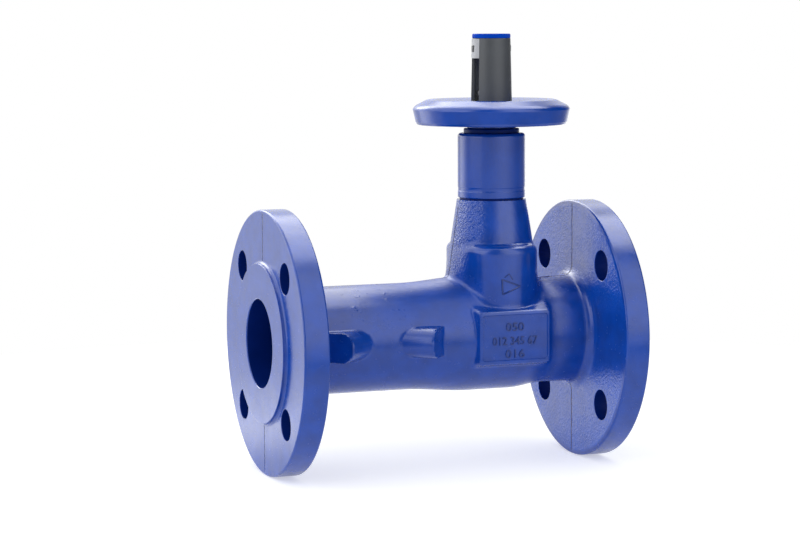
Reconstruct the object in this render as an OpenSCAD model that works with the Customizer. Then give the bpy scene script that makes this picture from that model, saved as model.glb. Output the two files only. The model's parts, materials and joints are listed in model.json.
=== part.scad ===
// Flanged stop valve for a 50 mm pipeline, closed position.
// Millimetres. Origin: centre of the inlet's raised face. +X is the flow, +Z is up along the stem.

/* [Pipeline] */
// Length between the two raised faces
face_to_face = 230; // [226:1:245]
// Radius of the waterway at both ports
bore_r = 27.5; // [25:0.5:28.5]
// Outer radius of the inlet pipe
pipe_r = 33.6; // [32.6:0.2:35]
// Outer radius where the outlet pipe meets its flange
outlet_r = 34; // [33:0.2:35.4]

/* [Flanges] */
// Flange radius
flange_r = 82.5; // [80:0.5:90]
// Flange thickness with its raised face
flange_t = 19; // [17:0.5:22]
// Radius of the raised sealing face
raised_r = 49.5; // [47:0.5:50.5]
// Height of the raised sealing face
raised_h = 3; // [2:0.5:4]
// Radius of the cast fillet at the foot of the raised face
raised_fillet = 2.5; // [0.5:0.5:3]
// Radius of the bolt circle
bolt_circle_r = 62.5; // [62:0.5:66]
// Radius of the bolt holes
bolt_hole_r = 9.5; // [8:0.5:10]
// Bolt holes in each flange
bolt_count = 4; // [4:4:8]
// Rounding of the flange rims
rim_round = 1.5; // [0.5:0.5:3]
// Fillet between pipe and flange
hub_fillet = 5; // [2:0.5:7]

/* [Valve chamber] */
// Distance of the stem axis from the inlet face
stem_x = 155; // [150:1:160]
// Greatest outer radius of the chamber
chamber_r = 36.3; // [35.8:0.1:39]
// Wall of the chamber
chamber_wall = 5.5; // [4.5:0.25:6.5]
// Length over which the pipe swells to the chamber
swell_in = 44; // [30:1:50]
// Distance from the stem axis to the outlet end of the valve chamber's hollow
hollow_out = 37; // [33:1:38]
// Length of the full chamber on the inlet side of the stem
chamber_in = 19; // [16:1:24]
// Length of the full chamber on the outlet side of the stem
chamber_out = 21; // [18:1:24]
// Length of the cones inside, between bore and chamber
inner_cone = 6; // [3:1:8]

/* [Seat and plug] */
// Tilt of the seat away from upright
seat_tilt = 30; // [25:1:34]
// Thickness of the seat wall across the waterway
seat_wall = 6; // [4:0.5:7]
// Radius of the port through the seat wall
port_r = 23; // [21:0.5:24]
// Radius of the coated plug disc
plug_r = 25.5; // [25:0.25:26]
// Thickness of the coated plug disc
plug_t = 8; // [7:0.5:9]
// Thickness of the rubber coating
coat_t = 1.75; // [1:0.25:2.25]
// Radius of the plug's upright boss
lug_r = 9; // [8.5:0.25:10]
// Height of the plug's upright boss above the pipe axis
lug_top = 34; // [30:1:36]
// Lift of the plug from closed to open
stroke = 25; // [18:1:26]
// Gap left between coating and seat for the modelled closed position
seat_gap = 0.05; // [0.02:0.01:0.1]

/* [Plug pocket and neck] */
// Outer radius of the pocket's rounded ends
pocket_r = 23; // [22.5:0.25:24]
// Distance of those ends from the stem axis
pocket_off = 12; // [10:0.5:13]
// Wall of the pocket
pocket_wall = 5; // [4:0.25:5.25]
// Rounding of the pocket's shoulder
pocket_round = 5; // [2:0.5:6]
// Room above the raised plug
pocket_room = 4.7; // [2:0.1:6]
// Height of the neck's top above the pipe axis
neck_top = 85; // [82:1:92]
// Radius at the neck's top
neck_r = 22; // [21.5:0.25:23.5]
// Taper of the neck on each side, in degrees
neck_taper = 8.7; // [6:0.1:10]
// Depth to which the bonnet enters the neck
spigot_len = 17; // [14:0.5:18]
// Radius of the bonnet's spigot
spigot_r = 16.9; // [16:0.1:17.5]

/* [Bosses and pad] */
// Half width of the inclined sensor bosses
boss_r = 9.4; // [8:0.2:10]
// Angle between each boss and the pipe
boss_angle = 40; // [35:1:45]
// Greatest distance of a boss from the pipe axis
boss_reach = 48.1; // [45:0.5:52]
// Middle of the two bosses along the pipe
boss_mid = 71.3; // [70:0.5:74]
// Distance of each boss's outermost edge from that middle
boss_spread = 25.8; // [24:0.2:27]
// Width of the label pad's face along the pipe
pad_w = 48; // [40:0.5:52]
// Height of the label pad's face
pad_h = 33; // [26:0.5:36]
// Distance of the pad's face from the pipe axis
pad_reach = 39.5; // [38.5:0.25:42]
// Height of the pad's middle above the pipe axis
pad_rise = 1; // [-1:0.2:2]
// Slope of the pad's sides, in degrees
pad_draft = 15; // [5:1:20]

/* [Bonnet] */
// Radius of the bonnet
bonnet_r = 21.4; // [21:0.1:23]
// Height of the bonnet's barrel
bonnet_h = 40.7; // [38:0.5:46]
// Height of the shadow gap between neck and bonnet
shadow_gap = 1.2; // [0.8:0.1:2]
// Depth of the shadow gap
shadow_depth = 1.6; // [1:0.1:2.5]
// Height of the turned groove above the barrel's foot
groove_z = 4.4; // [3:0.2:6]
// Width of the turned groove
groove_w = 2.2; // [1:0.2:3]
// Depth of the turned groove
groove_d = 0.4; // [0.2:0.1:1]
// Radius of the chamber that holds the stem nut's flange
nut_chamber_r = 14; // [13.8:0.1:15]
// Depth of that chamber
nut_chamber_depth = 25; // [22:0.5:27]
// Height of the screwed-in collar's head
collar_h = 2.9; // [2:0.1:4]
// Radius of the collar's head
collar_r = 17.6; // [17:0.1:19]

/* [Stem and nut] */
// Radius of the stem
stem_r = 6; // [5.5:0.1:6.3]
// Radial running clearance of the stem and of the nut
run_fit = 0.05; // [0.02:0.01:0.09]
// Height of the stem's end above its nut when the valve is shut
stem_proud = 4.6; // [3.6:0.5:7.6]
// Radius of the stem's stop collar
stop_r = 8.5; // [7.5:0.25:9]
// Radius of the stem nut's barrel
nut_r = 10; // [9.6:0.1:10.4]
// Thickness of the stem nut's flange
nut_flange_t = 5; // [4:0.5:6]
// Thickness of each thrust washer
washer_t = 1.5; // [1:0.25:2]
// Radial height of the sliding seals
seal_h = 2.4; // [2:0.1:2.6]

/* [Handwheel] */
// Radius of the handwheel
wheel_r = 49.7; // [45:0.5:55]
// Radius at the rim's lower edge
wheel_foot_r = 48; // [44:0.5:49]
// Height of the rim from its lower edge to its widest line
wheel_rim_h = 9; // [7:0.5:11]
// Height of the domed shoulder above the widest line
wheel_dome_h = 6; // [5:0.25:7]
// Radius where the domed shoulder ends
wheel_flat_r = 34; // [28:0.5:38]
// Depth of the dish round the tube
wheel_dish = 1.2; // [0.4:0.2:2]
// Wall of the handwheel
wheel_wall = 3.5; // [3:0.25:4.5]
// Height of the rim's lower edge above the collar
wheel_gap = 3.2; // [2.5:0.1:5]
// Radius of the handwheel's hub
hub_r = 15.5; // [15:0.1:17]
// Thickness of the ribs under the handwheel
rib_t = 3; // [2:0.25:4]
// Ribs under the handwheel
rib_count = 4; // [4:1:6]

/* [Position indicator] */
// Outer radius of the tube at its foot
tube_r = 13; // [12.8:0.1:13.6]
// Amount by which the indicator tube's radius narrows towards its top
tube_draw = 0.9; // [0.4:0.1:1]
// Wall of the tube at its top
tube_wall = 1.4; // [1:0.1:1.6]
// Height of the tube's top above the wheel's dish
tube_h = 39.7; // [39:0.1:46]
// Half angle of the viewing slot
slot_angle = 30; // [20:1:40]
// Height of the viewing slot
slot_h = 26.5; // [20:0.5:28]
// Thickness of the blank panel above the slot
panel_t = 0.25; // [0.15:0.05:0.4]
// Height of the cap above the tube
cap_h = 2.8; // [2:0.1:4]

/* [Hidden] */
$fn = 96;
paint = "#3f57a6";
steel = "#a9adb2";
brass = "#b8923f";
dark_rubber = "#26282b";
grey_plastic = "#55595e";

// Clearances and small sizes that several pieces share
fit = 0.05;
overrun = 1;
arc_steps = 6;
edge_round = 1.2;
tube_recess = 3;
hex_proud = 2.6;
hex_step = 0.4;
slot_sill = 0.4;
clip_t = 1;
clip_w = 2.2;
clip_bite = 0.11;
clip_gap = 2.2;
clip_room = 0.3;
passage_gap = 3;
bush_wall = 3;
panel_low_gap = 0.3;
panel_top_gap = 0.4;
rib_rise = 3;
rib_drop = 1.5;
recess_lip = 2;
wiper_t = 1.15;
wiper_h = 1.8;

// Seat and plug, worked out from the tilt
disc_up = plug_r * cos(seat_tilt);
seat_x = stem_x - plug_t / 2 * cos(seat_tilt);
pocket_ceiling = disc_up + plug_t * sin(seat_tilt) + stroke + pocket_room;
pocket_top = pocket_ceiling + pocket_wall;
chamber_inner_r = chamber_r - chamber_wall;
chamber_x0 = stem_x - chamber_in - swell_in;
chamber_x1 = stem_x + chamber_out;
cavity_x0 = stem_x - chamber_in - swell_in / 2;
cavity_x1 = stem_x + hollow_out;
hub_start = face_to_face - flange_t - hub_fillet - overrun;
passage_r = lug_r + passage_gap;

// Heights up the stem axis
spigot_z = neck_top - spigot_len;
bonnet_z = neck_top + shadow_gap;
bonnet_top = bonnet_z + bonnet_h;
nut_floor = bonnet_top - nut_chamber_depth;
nut_flange_z = nut_floor + washer_t;
collar_z = nut_flange_z + nut_flange_t + washer_t + fit;
collar_top = bonnet_top + collar_h;
hub_z = collar_top + 3 * fit;
wheel_z = collar_top + wheel_gap;
widest_z = wheel_z + wheel_rim_h;
dome_top = widest_z + wheel_dome_h;
dish_z = dome_top - wheel_dish;
recess_z = dish_z - tube_recess;
nut_top = recess_z + hex_proud;
stem_top = nut_top + stem_proud;
wiper_z = nut_top - wiper_h;
clip_z = recess_z + fit;
tube_z = recess_z;
tube_top = dish_z + tube_h;
slot_z = dish_z + slot_sill;
slot_top = slot_z + slot_h;
cap_top = tube_top + cap_h;
hex_r = nut_r - hex_step;
clip_groove_r = hex_r * cos(30) - clip_bite;
clip_out_r = clip_groove_r + clip_w;
clip_pocket_r = clip_out_r + clip_room + 2 * fit;
clip_pocket_h = clip_z + fit / 2 + clip_t + clip_room - tube_z;

// Snap lugs of the cap, and the room that they leave for the disc on the stem
lug_w = 3;
lug_h = 4;
lug_depth = 8.5;
lug_z = tube_top - lug_depth;
lug_out = 0.9;
tube_top_r = tube_r - tube_draw;
tube_bore_r = tube_top_r - tube_wall;
cap_round = 0.8;
skirt_r = tube_bore_r - fit;
skirt_wall = 1.5;
skirt_slit = 2;
disc_room = 0.4;
disc_r = skirt_r - skirt_wall - disc_room;
disc_t = 2.5;
disc_boss_t = 3.5;

// Stem, from the plug's boss to the indicator
stem_grip = 17;
stem_foot = lug_top - stem_grip;
stop_top = spigot_z - stroke - 0.5;
pin_r = 2;
pin_depth = 10;
pin_z = lug_top - pin_depth;
pin_inset = 0.6;
screw_r = 1.5;
screw_depth = 8.5;
screw_head_r = 2.8;
screw_head_h = 1.8;
bush_r = stem_r + bush_wall;
bush_len = 9;
bush_z = spigot_z + overrun;
seal_above_bush = 4;
seal_pitch = 9;
lower_seal_z = bush_z + bush_len + seal_above_bush;
upper_seal_z = lower_seal_z + seal_pitch;
seal_groove_r = stem_r + seal_h + fit;
seal_gap = 2 * seal_h + 0.4;
bonnet_ring_r = 1.3;
bonnet_ring_rise = 4;
bonnet_ring_z = spigot_z + bonnet_ring_rise;

// Points of a circular arc, from one angle to another
function arc(cx, cy, r, a0, a1) = [
    for (i = [0 : arc_steps]) let (a = a0 + (a1 - a0) * i / arc_steps) [cx + r * cos(a), cy + r * sin(a)]
];

// Points of a smooth step in radius between two places along an axis
function step(r0, z0, r1, z1) = [
    for (i = [0 : arc_steps]) let (s = i / arc_steps) [
        r0 + (r1 - r0) * (1 - cos(180 * s)) / 2,
        z0 + (z1 - z0) * s
    ]
];

// Points of a quarter of an ellipse, from its widest line up to its top
function dome(r_in, r_out, z0, h) = [
    for (i = [0 : arc_steps + 2]) let (a = 90 * i / (arc_steps + 2)) [
        r_in + (r_out - r_in) * cos(a),
        z0 + h * sin(a)
    ]
];

// Outline of a flange from its raised face to the pipe, as [radius, depth]
function flange_outline(pipe) = concat(
    [[0, 0], [raised_r, 0]],
    arc(raised_r + raised_fillet, raised_h - raised_fillet, raised_fillet, 180, 90),
    arc(flange_r - rim_round, raised_h + rim_round, rim_round, -90, 0),
    arc(flange_r - rim_round, flange_t - rim_round, rim_round, 0, 90),
    arc(pipe + hub_fillet, flange_t + hub_fillet, hub_fillet, -90, -180)
);

// Places its children on the stem axis
module on_stem() {
    translate([stem_x, 0, 0]) children();
}

// Turns an upright solid so that its axis lies along the pipe
module along_pipe() {
    rotate([0, 90, 0]) children();
}

// Turns an upright solid onto the seat, facing the plug
module on_seat() {
    translate([seat_x, 0, 0]) rotate([0, 90 - seat_tilt, 0]) children();
}

module tube(r_out, r_in, z0, z1) {
    translate([0, 0, z0]) difference() {
        cylinder(r = r_out, h = z1 - z0);
        translate([0, 0, -overrun]) cylinder(r = r_in, h = z1 - z0 + 2 * overrun);
    }
}

module o_ring(centre_r, section_r, z) {
    translate([0, 0, z]) rotate_extrude() translate([centre_r, 0]) circle(r = section_r, $fn = 32);
}

// Upright solid with two round ends and a rounded shoulder
module oblong(r, off, z0, z1, round) {
    side = concat([[0, z0], [r, z0]], arc(r - round, z1 - round, round, 0, 90), [[0, z1]]);
    for (y = [-off, off]) translate([0, y, 0]) rotate_extrude() polygon(side);
    translate([0, off, 0]) rotate([90, 0, 0]) linear_extrude(2 * off) union() {
        polygon(side);
        mirror([1, 0]) polygon(side);
    }
}

module bolt_holes() {
    for (i = [0 : bolt_count - 1]) rotate([0, 0, 360 / bolt_count * (i + 0.5)])
        translate([bolt_circle_r, 0, -overrun]) cylinder(r = bolt_hole_r, h = flange_t + 2 * overrun);
}

module pipe_outside() {
    outlet_flange = flange_outline(outlet_r);
    last = len(outlet_flange) - 1;
    along_pipe() rotate_extrude() polygon(concat(
        flange_outline(pipe_r),
        step(pipe_r, chamber_x0, chamber_r, chamber_x0 + swell_in),
        step(chamber_r, chamber_x1, outlet_r, hub_start),
        [for (i = [last : -1 : 0]) [outlet_flange[i][0], face_to_face - outlet_flange[i][1]]]
    ));
}

module neck_outside() {
    foot_z = pipe_r * 0.5;
    foot_r = neck_r + (neck_top - foot_z) * tan(neck_taper);
    on_stem() rotate_extrude() polygon(concat(
        [[0, foot_z], [foot_r, foot_z]],
        [[neck_r + edge_round * tan(neck_taper), neck_top - edge_round], [neck_r - edge_round / 2, neck_top]],
        [[0, neck_top]]
    ));
}

// Inclined boss with a flat end for a clamp-on sensor; side is -1 towards the inlet, 1 towards the outlet
module sensor_boss(side) {
    depth = (boss_reach - pipe_r * 0.93) / cos(boss_angle) + 2;
    length = (boss_reach - pipe_r * 0.93) / sin(boss_angle) + 4;
    translate([boss_mid + side * boss_spread, -boss_reach, 0])
        mirror([side > 0 ? 1 : 0, 0, 0])
            rotate([0, 0, boss_angle]) translate([0, boss_r, 0]) {
                rotate([0, 90, 0]) cylinder(r = boss_r, h = length);
                translate([0, 0, -boss_r]) cube([length, depth - boss_r, 2 * boss_r]);
            }
}

// Half outline of the pad, from its face back into the pipe, with sloping sides
function pad_outline(width) = let (root = pipe_r / 2, grow = (pad_reach - root) * tan(pad_draft)) [
    [-width / 2, -pad_reach], [width / 2, -pad_reach], [width / 2 + grow, -root], [-width / 2 - grow, -root]
];

module label_pad() {
    span = 2 * chamber_r;
    translate([stem_x, 0, pad_rise]) intersection() {
        translate([0, 0, -span / 2]) linear_extrude(span) polygon(pad_outline(pad_w));
        translate([-span, 0, 0]) rotate([90, 0, 90]) linear_extrude(2 * span)
            rotate([0, 0, 90]) mirror([0, 1]) polygon(pad_outline(pad_h));
    }
}

module waterway() {
    along_pipe() {
        translate([0, 0, -overrun]) cylinder(r = bore_r, h = cavity_x0 + overrun);
        translate([0, 0, cavity_x1]) cylinder(r = bore_r, h = face_to_face - cavity_x1 + overrun);
    }
    difference() {
        union() {
            along_pipe() rotate_extrude() polygon([
                [0, cavity_x0], [bore_r, cavity_x0],
                [chamber_inner_r, cavity_x0 + inner_cone], [chamber_inner_r, cavity_x1 - inner_cone],
                [bore_r, cavity_x1], [0, cavity_x1]
            ]);
            on_stem() oblong(pocket_r - pocket_wall, pocket_off, 0, pocket_ceiling, edge_round);
        }
        on_seat() translate([0, 0, -seat_wall]) cylinder(r = 2 * chamber_r, h = seat_wall);
    }
    on_seat() translate([0, 0, -seat_wall - overrun]) cylinder(r = port_r, h = seat_wall + 2 * overrun);
}

module valve_body() {
    color(paint) difference() {
        union() {
            pipe_outside();
            neck_outside();
            on_stem() oblong(pocket_r, pocket_off, 0, pocket_top, pocket_round);
            for (side = [-1, 1]) sensor_boss(side);
            label_pad();
        }
        waterway();
        on_stem() {
            translate([0, 0, pocket_ceiling - overrun]) cylinder(r = passage_r, h = neck_top);
            translate([0, 0, spigot_z]) cylinder(r = spigot_r + fit, h = neck_top);
        }
        along_pipe() {
            bolt_holes();
            translate([0, 0, face_to_face - flange_t]) bolt_holes();
        }
    }
}

module bonnet() {
    ring_groove_r = spigot_r - 2 * bonnet_ring_r;
    color(paint) on_stem() difference() {
        rotate_extrude() polygon([
            [0, spigot_z], [spigot_r - edge_round, spigot_z], [spigot_r, spigot_z + edge_round],
            [spigot_r, bonnet_ring_z - bonnet_ring_r - fit],
            [ring_groove_r, bonnet_ring_z - bonnet_ring_r - fit],
            [ring_groove_r, bonnet_ring_z + bonnet_ring_r + fit],
            [spigot_r, bonnet_ring_z + bonnet_ring_r + fit],
            [spigot_r, neck_top], [bonnet_r - shadow_depth, neck_top], [bonnet_r - shadow_depth, bonnet_z],
            [bonnet_r - groove_d, bonnet_z], [bonnet_r, bonnet_z + groove_d], [bonnet_r, bonnet_z + groove_z],
            [bonnet_r - groove_d, bonnet_z + groove_z], [bonnet_r - groove_d, bonnet_z + groove_z + groove_w],
            [bonnet_r, bonnet_z + groove_z + groove_w + groove_d], [bonnet_r, bonnet_top - edge_round],
            [bonnet_r - edge_round, bonnet_top], [0, bonnet_top]
        ]);
        translate([0, 0, spigot_z - overrun]) cylinder(r = stem_r + run_fit, h = bonnet_top);
        translate([0, 0, spigot_z - overrun])
            cylinder(r = bush_r, h = bush_z + bush_len - spigot_z + overrun);
        for (z = [lower_seal_z, upper_seal_z])
            translate([0, 0, z - seal_gap / 2]) cylinder(r = seal_groove_r, h = seal_gap);
        translate([0, 0, nut_floor]) cylinder(r = nut_chamber_r, h = bonnet_top);
    }
}

module bonnet_o_ring() {
    color(dark_rubber) on_stem() o_ring(spigot_r - bonnet_ring_r, bonnet_ring_r, bonnet_ring_z);
}

module guide_bush() {
    color(brass) on_stem() tube(bush_r, stem_r + run_fit, bush_z, bush_z + bush_len);
}

module stem_seal(z) {
    color(dark_rubber) on_stem() rotate_extrude() translate([stem_r + run_fit + seal_h / 2, z]) union() {
        for (side = [-1, 1]) translate([0, side * seal_h / 2]) circle(r = seal_h / 2, $fn = 32);
        square([seal_h, seal_h], center = true);
    }
}

module lower_stem_seal() {
    stem_seal(lower_seal_z);
}

module upper_stem_seal() {
    stem_seal(upper_seal_z);
}

module thrust_washer(z) {
    color(steel) on_stem() tube(nut_chamber_r - 4 * fit, nut_r + fit, z, z + washer_t);
}

module lower_thrust_washer() {
    thrust_washer(nut_floor);
}

module upper_thrust_washer() {
    thrust_washer(nut_flange_z + nut_flange_t + fit);
}

module retaining_collar() {
    ring_z = (collar_z + bonnet_top) / 2;
    color(paint) on_stem() difference() {
        rotate_extrude() polygon([
            [nut_r + run_fit, collar_z], [nut_chamber_r - fit, collar_z], [nut_chamber_r - fit, bonnet_top],
            [collar_r, bonnet_top], [collar_r, collar_top - 0.6], [collar_r - 0.6, collar_top],
            [nut_r + run_fit, collar_top]
        ]);
        translate([0, 0, ring_z - bonnet_ring_r - fit])
            cylinder(r = nut_r + run_fit + 2 * bonnet_ring_r, h = 2 * (bonnet_ring_r + fit));
    }
}

module collar_o_ring() {
    color(dark_rubber) on_stem()
        o_ring(nut_r + run_fit + bonnet_ring_r, bonnet_ring_r, (collar_z + bonnet_top) / 2);
}

module stem_nut() {
    color(brass) on_stem() difference() {
        union() {
            translate([0, 0, nut_floor + fit]) cylinder(r = nut_r, h = hub_z - nut_floor - fit);
            translate([0, 0, nut_flange_z + fit / 2]) cylinder(r = nut_chamber_r - 6 * fit, h = nut_flange_t);
            translate([0, 0, hub_z]) cylinder(r = hex_r, h = nut_top - hub_z, $fn = 6);
        }
        translate([0, 0, nut_floor]) cylinder(r = stem_r + run_fit, h = nut_top);
        tube(nut_r + overrun, clip_groove_r, clip_z, clip_z + fit + clip_t);
        translate([0, 0, wiper_z]) cylinder(r = stem_r + wiper_t + run_fit, h = wiper_h + overrun);
    }
}

module stem_wiper() {
    color(dark_rubber) on_stem()
        tube(stem_r + wiper_t + run_fit / 2, stem_r + run_fit, wiper_z + fit / 2, nut_top + slot_sill);
}

module handwheel() {
    inner_foot = wheel_foot_r - wheel_wall;
    inner_wide = wheel_r - wheel_wall;
    color(paint) on_stem() difference() {
        union() {
            difference() {
                rotate_extrude() polygon(concat(
                    [[0, wheel_z], [inner_foot, wheel_z]],
                    arc(wheel_foot_r - edge_round, wheel_z + edge_round, edge_round, -90, 0),
                    dome(wheel_flat_r, wheel_r, widest_z, wheel_dome_h),
                    [[tube_r + recess_lip, dish_z], [0, dish_z]]
                ));
                rotate_extrude() polygon(concat(
                    [[0, wheel_z - overrun], [inner_foot, wheel_z - overrun], [inner_foot, wheel_z]],
                    dome(wheel_flat_r, inner_wide, widest_z, wheel_dome_h - wheel_wall),
                    [[tube_r + recess_lip, dish_z - wheel_wall - overrun], [0, dish_z - wheel_wall - overrun]]
                ));
            }
            translate([0, 0, hub_z]) cylinder(r = hub_r, h = dish_z - hub_z);
            for (i = [0 : rib_count - 1]) rotate([0, 0, 360 / rib_count * (i + 0.5)])
                translate([hub_r - 2 * overrun, -rib_t / 2, wheel_z + rib_rise])
                    cube([inner_foot - hub_r + 2 * overrun, rib_t, widest_z - wheel_z - rib_drop]);
        }
        translate([0, 0, hub_z - overrun]) cylinder(r = hex_r + fit, h = dish_z, $fn = 6);
        translate([0, 0, recess_z]) cylinder(r = tube_r + fit, h = dish_z);
    }
}

module wheel_circlip() {
    color(steel) on_stem() difference() {
        tube(clip_out_r, clip_groove_r + fit, clip_z + fit / 2, clip_z + fit / 2 + clip_t);
        translate([0, -clip_gap / 2, recess_z - overrun]) cube([2 * nut_r, clip_gap, clip_t + 2 * overrun]);
    }
}

// Tapered outside of the indicator tube, grown by a thickness
module tube_cone(z0, z1, grow) {
    slope = (tube_r - tube_top_r) / (tube_top - dish_z);
    translate([0, 0, z0]) cylinder(
        r1 = tube_r - slope * (z0 - dish_z) + grow,
        r2 = tube_r - slope * (z1 - dish_z) + grow,
        h = z1 - z0
    );
}

// Wedge about the slot's middle, on the inlet side of the tube
module slot_wedge(half_angle, z0, z1) {
    reach = 3 * tube_r;
    translate([0, 0, z0]) linear_extrude(z1 - z0) polygon([
        [0, 0],
        [-reach * cos(half_angle), reach * sin(half_angle)],
        [-reach * cos(half_angle), -reach * sin(half_angle)]
    ]);
}

module indicator_tube() {
    color(grey_plastic) on_stem() difference() {
        union() {
            translate([0, 0, tube_z]) cylinder(r = tube_r, h = dish_z - tube_z);
            tube_cone(dish_z, tube_top, 0);
        }
        translate([0, 0, tube_z - overrun]) cylinder(r = tube_bore_r, h = tube_top - tube_z + 2 * overrun);
        translate([0, 0, tube_z - overrun]) cylinder(r = clip_pocket_r, h = clip_pocket_h + overrun);
        slot_wedge(slot_angle, slot_z, slot_top);
        for (side = [0, 180]) rotate([0, 0, side]) translate([0, -lug_w / 2 - fit, lug_z - fit])
            cube([2 * tube_r, lug_w + 2 * fit, lug_h + 2 * fit]);
    }
}

module blank_panel() {
    color("#c9ccd6") on_stem() difference() {
        intersection() {
            tube_cone(slot_top + panel_low_gap, tube_top - panel_top_gap, panel_t);
            slot_wedge(slot_angle, slot_top, tube_top);
        }
        tube_cone(slot_top - overrun, tube_top + overrun, 0);
        translate([-2 * tube_r, -lug_w / 2 - fit, lug_z - fit])
            cube([2 * tube_r, lug_w + 2 * fit, lug_h + 2 * fit]);
    }
}

module tube_cap() {
    color("#0a3cc0") on_stem() {
        rotate_extrude() polygon(concat(
            [[0, tube_top], [tube_top_r, tube_top]],
            arc(tube_top_r - cap_round, cap_top - cap_round, cap_round, 0, 90),
            [[0, cap_top]]
        ));
        difference() {
            tube(skirt_r, skirt_r - skirt_wall, lug_z - overrun, tube_top);
            for (side = [30 : 60 : 330]) rotate([0, 0, side])
                translate([0, -skirt_slit / 2, lug_z - 2 * overrun])
                    cube([2 * tube_r, skirt_slit, lug_h + 3 * overrun]);
        }
        for (side = [0, 180]) rotate([0, 0, side]) translate([skirt_r - overrun, -lug_w / 2, lug_z])
            cube([tube_top_r + lug_out - skirt_r + overrun, lug_w, lug_h]);
    }
}

module stem() {
    tail_r = stem_r - 1;
    color(steel) on_stem() difference() {
        rotate_extrude() polygon([
            [0, stem_foot], [tail_r - 0.5, stem_foot], [tail_r, stem_foot + 0.5], [tail_r, lug_top],
            [stop_r, lug_top], [stop_r, stop_top], [stem_r, stop_top],
            [stem_r, stem_top - edge_round], [stem_r - edge_round, stem_top], [0, stem_top]
        ]);
        translate([0, 0, pin_z]) rotate([90, 0, 0])
            cylinder(r = pin_r + fit / 2, h = 4 * lug_r, center = true);
        translate([0, 0, stem_top - screw_depth - overrun])
            cylinder(r = screw_r + fit, h = screw_depth + 2 * overrun);
    }
}

module plug_core() {
    core_r = plug_r - coat_t;
    color("#7a7f86") difference() {
        union() {
            on_seat() translate([0, 0, seat_gap + coat_t]) cylinder(r = core_r, h = plug_t - 2 * coat_t);
            on_stem() cylinder(r = lug_r, h = lug_top);
        }
        on_seat() translate([0, 0, seat_gap + coat_t - plug_r]) cylinder(r = 2 * plug_r, h = plug_r);
        on_stem() {
            translate([0, 0, stem_foot - fit]) cylinder(r = stem_r - 1 + fit, h = lug_top);
            translate([0, 0, pin_z]) rotate([90, 0, 0])
                cylinder(r = pin_r + fit / 2, h = 4 * lug_r, center = true);
        }
    }
}

module plug_coating() {
    color(dark_rubber) difference() {
        on_seat() translate([0, 0, seat_gap]) cylinder(r = plug_r, h = plug_t);
        on_seat() translate([0, 0, seat_gap + coat_t]) cylinder(r = plug_r - coat_t, h = plug_t - 2 * coat_t);
        difference() {
            on_stem() cylinder(r = lug_r, h = lug_top);
            on_seat() translate([0, 0, seat_gap + coat_t - plug_r]) cylinder(r = 2 * plug_r, h = plug_r);
        }
    }
}

module plug_pin() {
    color(steel) on_stem() translate([0, 0, pin_z]) rotate([90, 0, 0])
        cylinder(r = pin_r, h = 2 * (lug_r - pin_inset), center = true);
}

module indicator_disc() {
    color("#1d1f22") on_stem() difference() {
        union() {
            translate([0, 0, stem_top]) cylinder(r = disc_r, h = disc_t);
            translate([0, 0, stem_top]) cylinder(r = stem_r + overrun, h = disc_boss_t);
        }
        translate([0, 0, stem_top - overrun]) cylinder(r = screw_r + fit, h = disc_boss_t + 2 * overrun);
    }
}

module disc_screw() {
    color(steel) on_stem() {
        translate([0, 0, stem_top - screw_depth]) cylinder(r = screw_r, h = screw_depth + disc_boss_t);
        translate([0, 0, stem_top + disc_boss_t])
            cylinder(r1 = screw_head_r, r2 = screw_head_r - cap_round, h = screw_head_h);
    }
}

valve_body();
bonnet();
bonnet_o_ring();
guide_bush();
lower_stem_seal();
upper_stem_seal();
lower_thrust_washer();
upper_thrust_washer();
retaining_collar();
collar_o_ring();
stem_nut();
stem_wiper();
handwheel();
wheel_circlip();
indicator_tube();
blank_panel();
tube_cap();
stem();
plug_core();
plug_coating();
plug_pin();
indicator_disc();
disc_screw();
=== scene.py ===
"""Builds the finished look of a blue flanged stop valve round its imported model."""

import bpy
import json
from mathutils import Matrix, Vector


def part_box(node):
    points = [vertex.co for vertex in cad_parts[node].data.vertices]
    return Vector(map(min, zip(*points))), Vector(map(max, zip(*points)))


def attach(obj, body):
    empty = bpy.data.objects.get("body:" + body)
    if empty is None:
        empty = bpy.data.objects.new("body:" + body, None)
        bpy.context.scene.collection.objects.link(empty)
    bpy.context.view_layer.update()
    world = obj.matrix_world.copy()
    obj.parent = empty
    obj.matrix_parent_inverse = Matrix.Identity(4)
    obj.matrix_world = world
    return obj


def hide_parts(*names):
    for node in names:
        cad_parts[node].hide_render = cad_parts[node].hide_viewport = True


bl_info = {
    "name": "Flanged stop valve",
    "version": (1, 0, 0),
    "blender": (4, 5, 0),
    "location": "3D View > Sidebar > Valve",
    "description": "Cast body, bonnet, handwheel and position indicator of a flanged stop valve",
    "category": "Object",
}

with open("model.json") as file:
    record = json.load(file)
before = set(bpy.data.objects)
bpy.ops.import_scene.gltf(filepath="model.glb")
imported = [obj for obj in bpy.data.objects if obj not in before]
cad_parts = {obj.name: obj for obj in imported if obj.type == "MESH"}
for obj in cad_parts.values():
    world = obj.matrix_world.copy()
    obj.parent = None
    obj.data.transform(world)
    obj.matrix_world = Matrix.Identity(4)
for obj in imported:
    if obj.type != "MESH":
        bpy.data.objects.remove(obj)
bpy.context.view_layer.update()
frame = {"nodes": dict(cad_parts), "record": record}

import json
import math
from functools import cache, reduce
from itertools import product

import bmesh
import bpy
import numpy as np
from bpy.props import FloatProperty, FloatVectorProperty, IntProperty, PointerProperty
from bpy.types import Operator, Panel, PropertyGroup
from mathutils import Matrix, Vector

MM = 0.001
ROOT = "valve"
WHEEL = "wheel"
PLUG = "plug"


def node_box(node):
    """Lowest and highest corner of a CAD node, in millimetres."""
    low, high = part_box(node)
    return np.array(low) / MM, np.array(high) / MM


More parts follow.
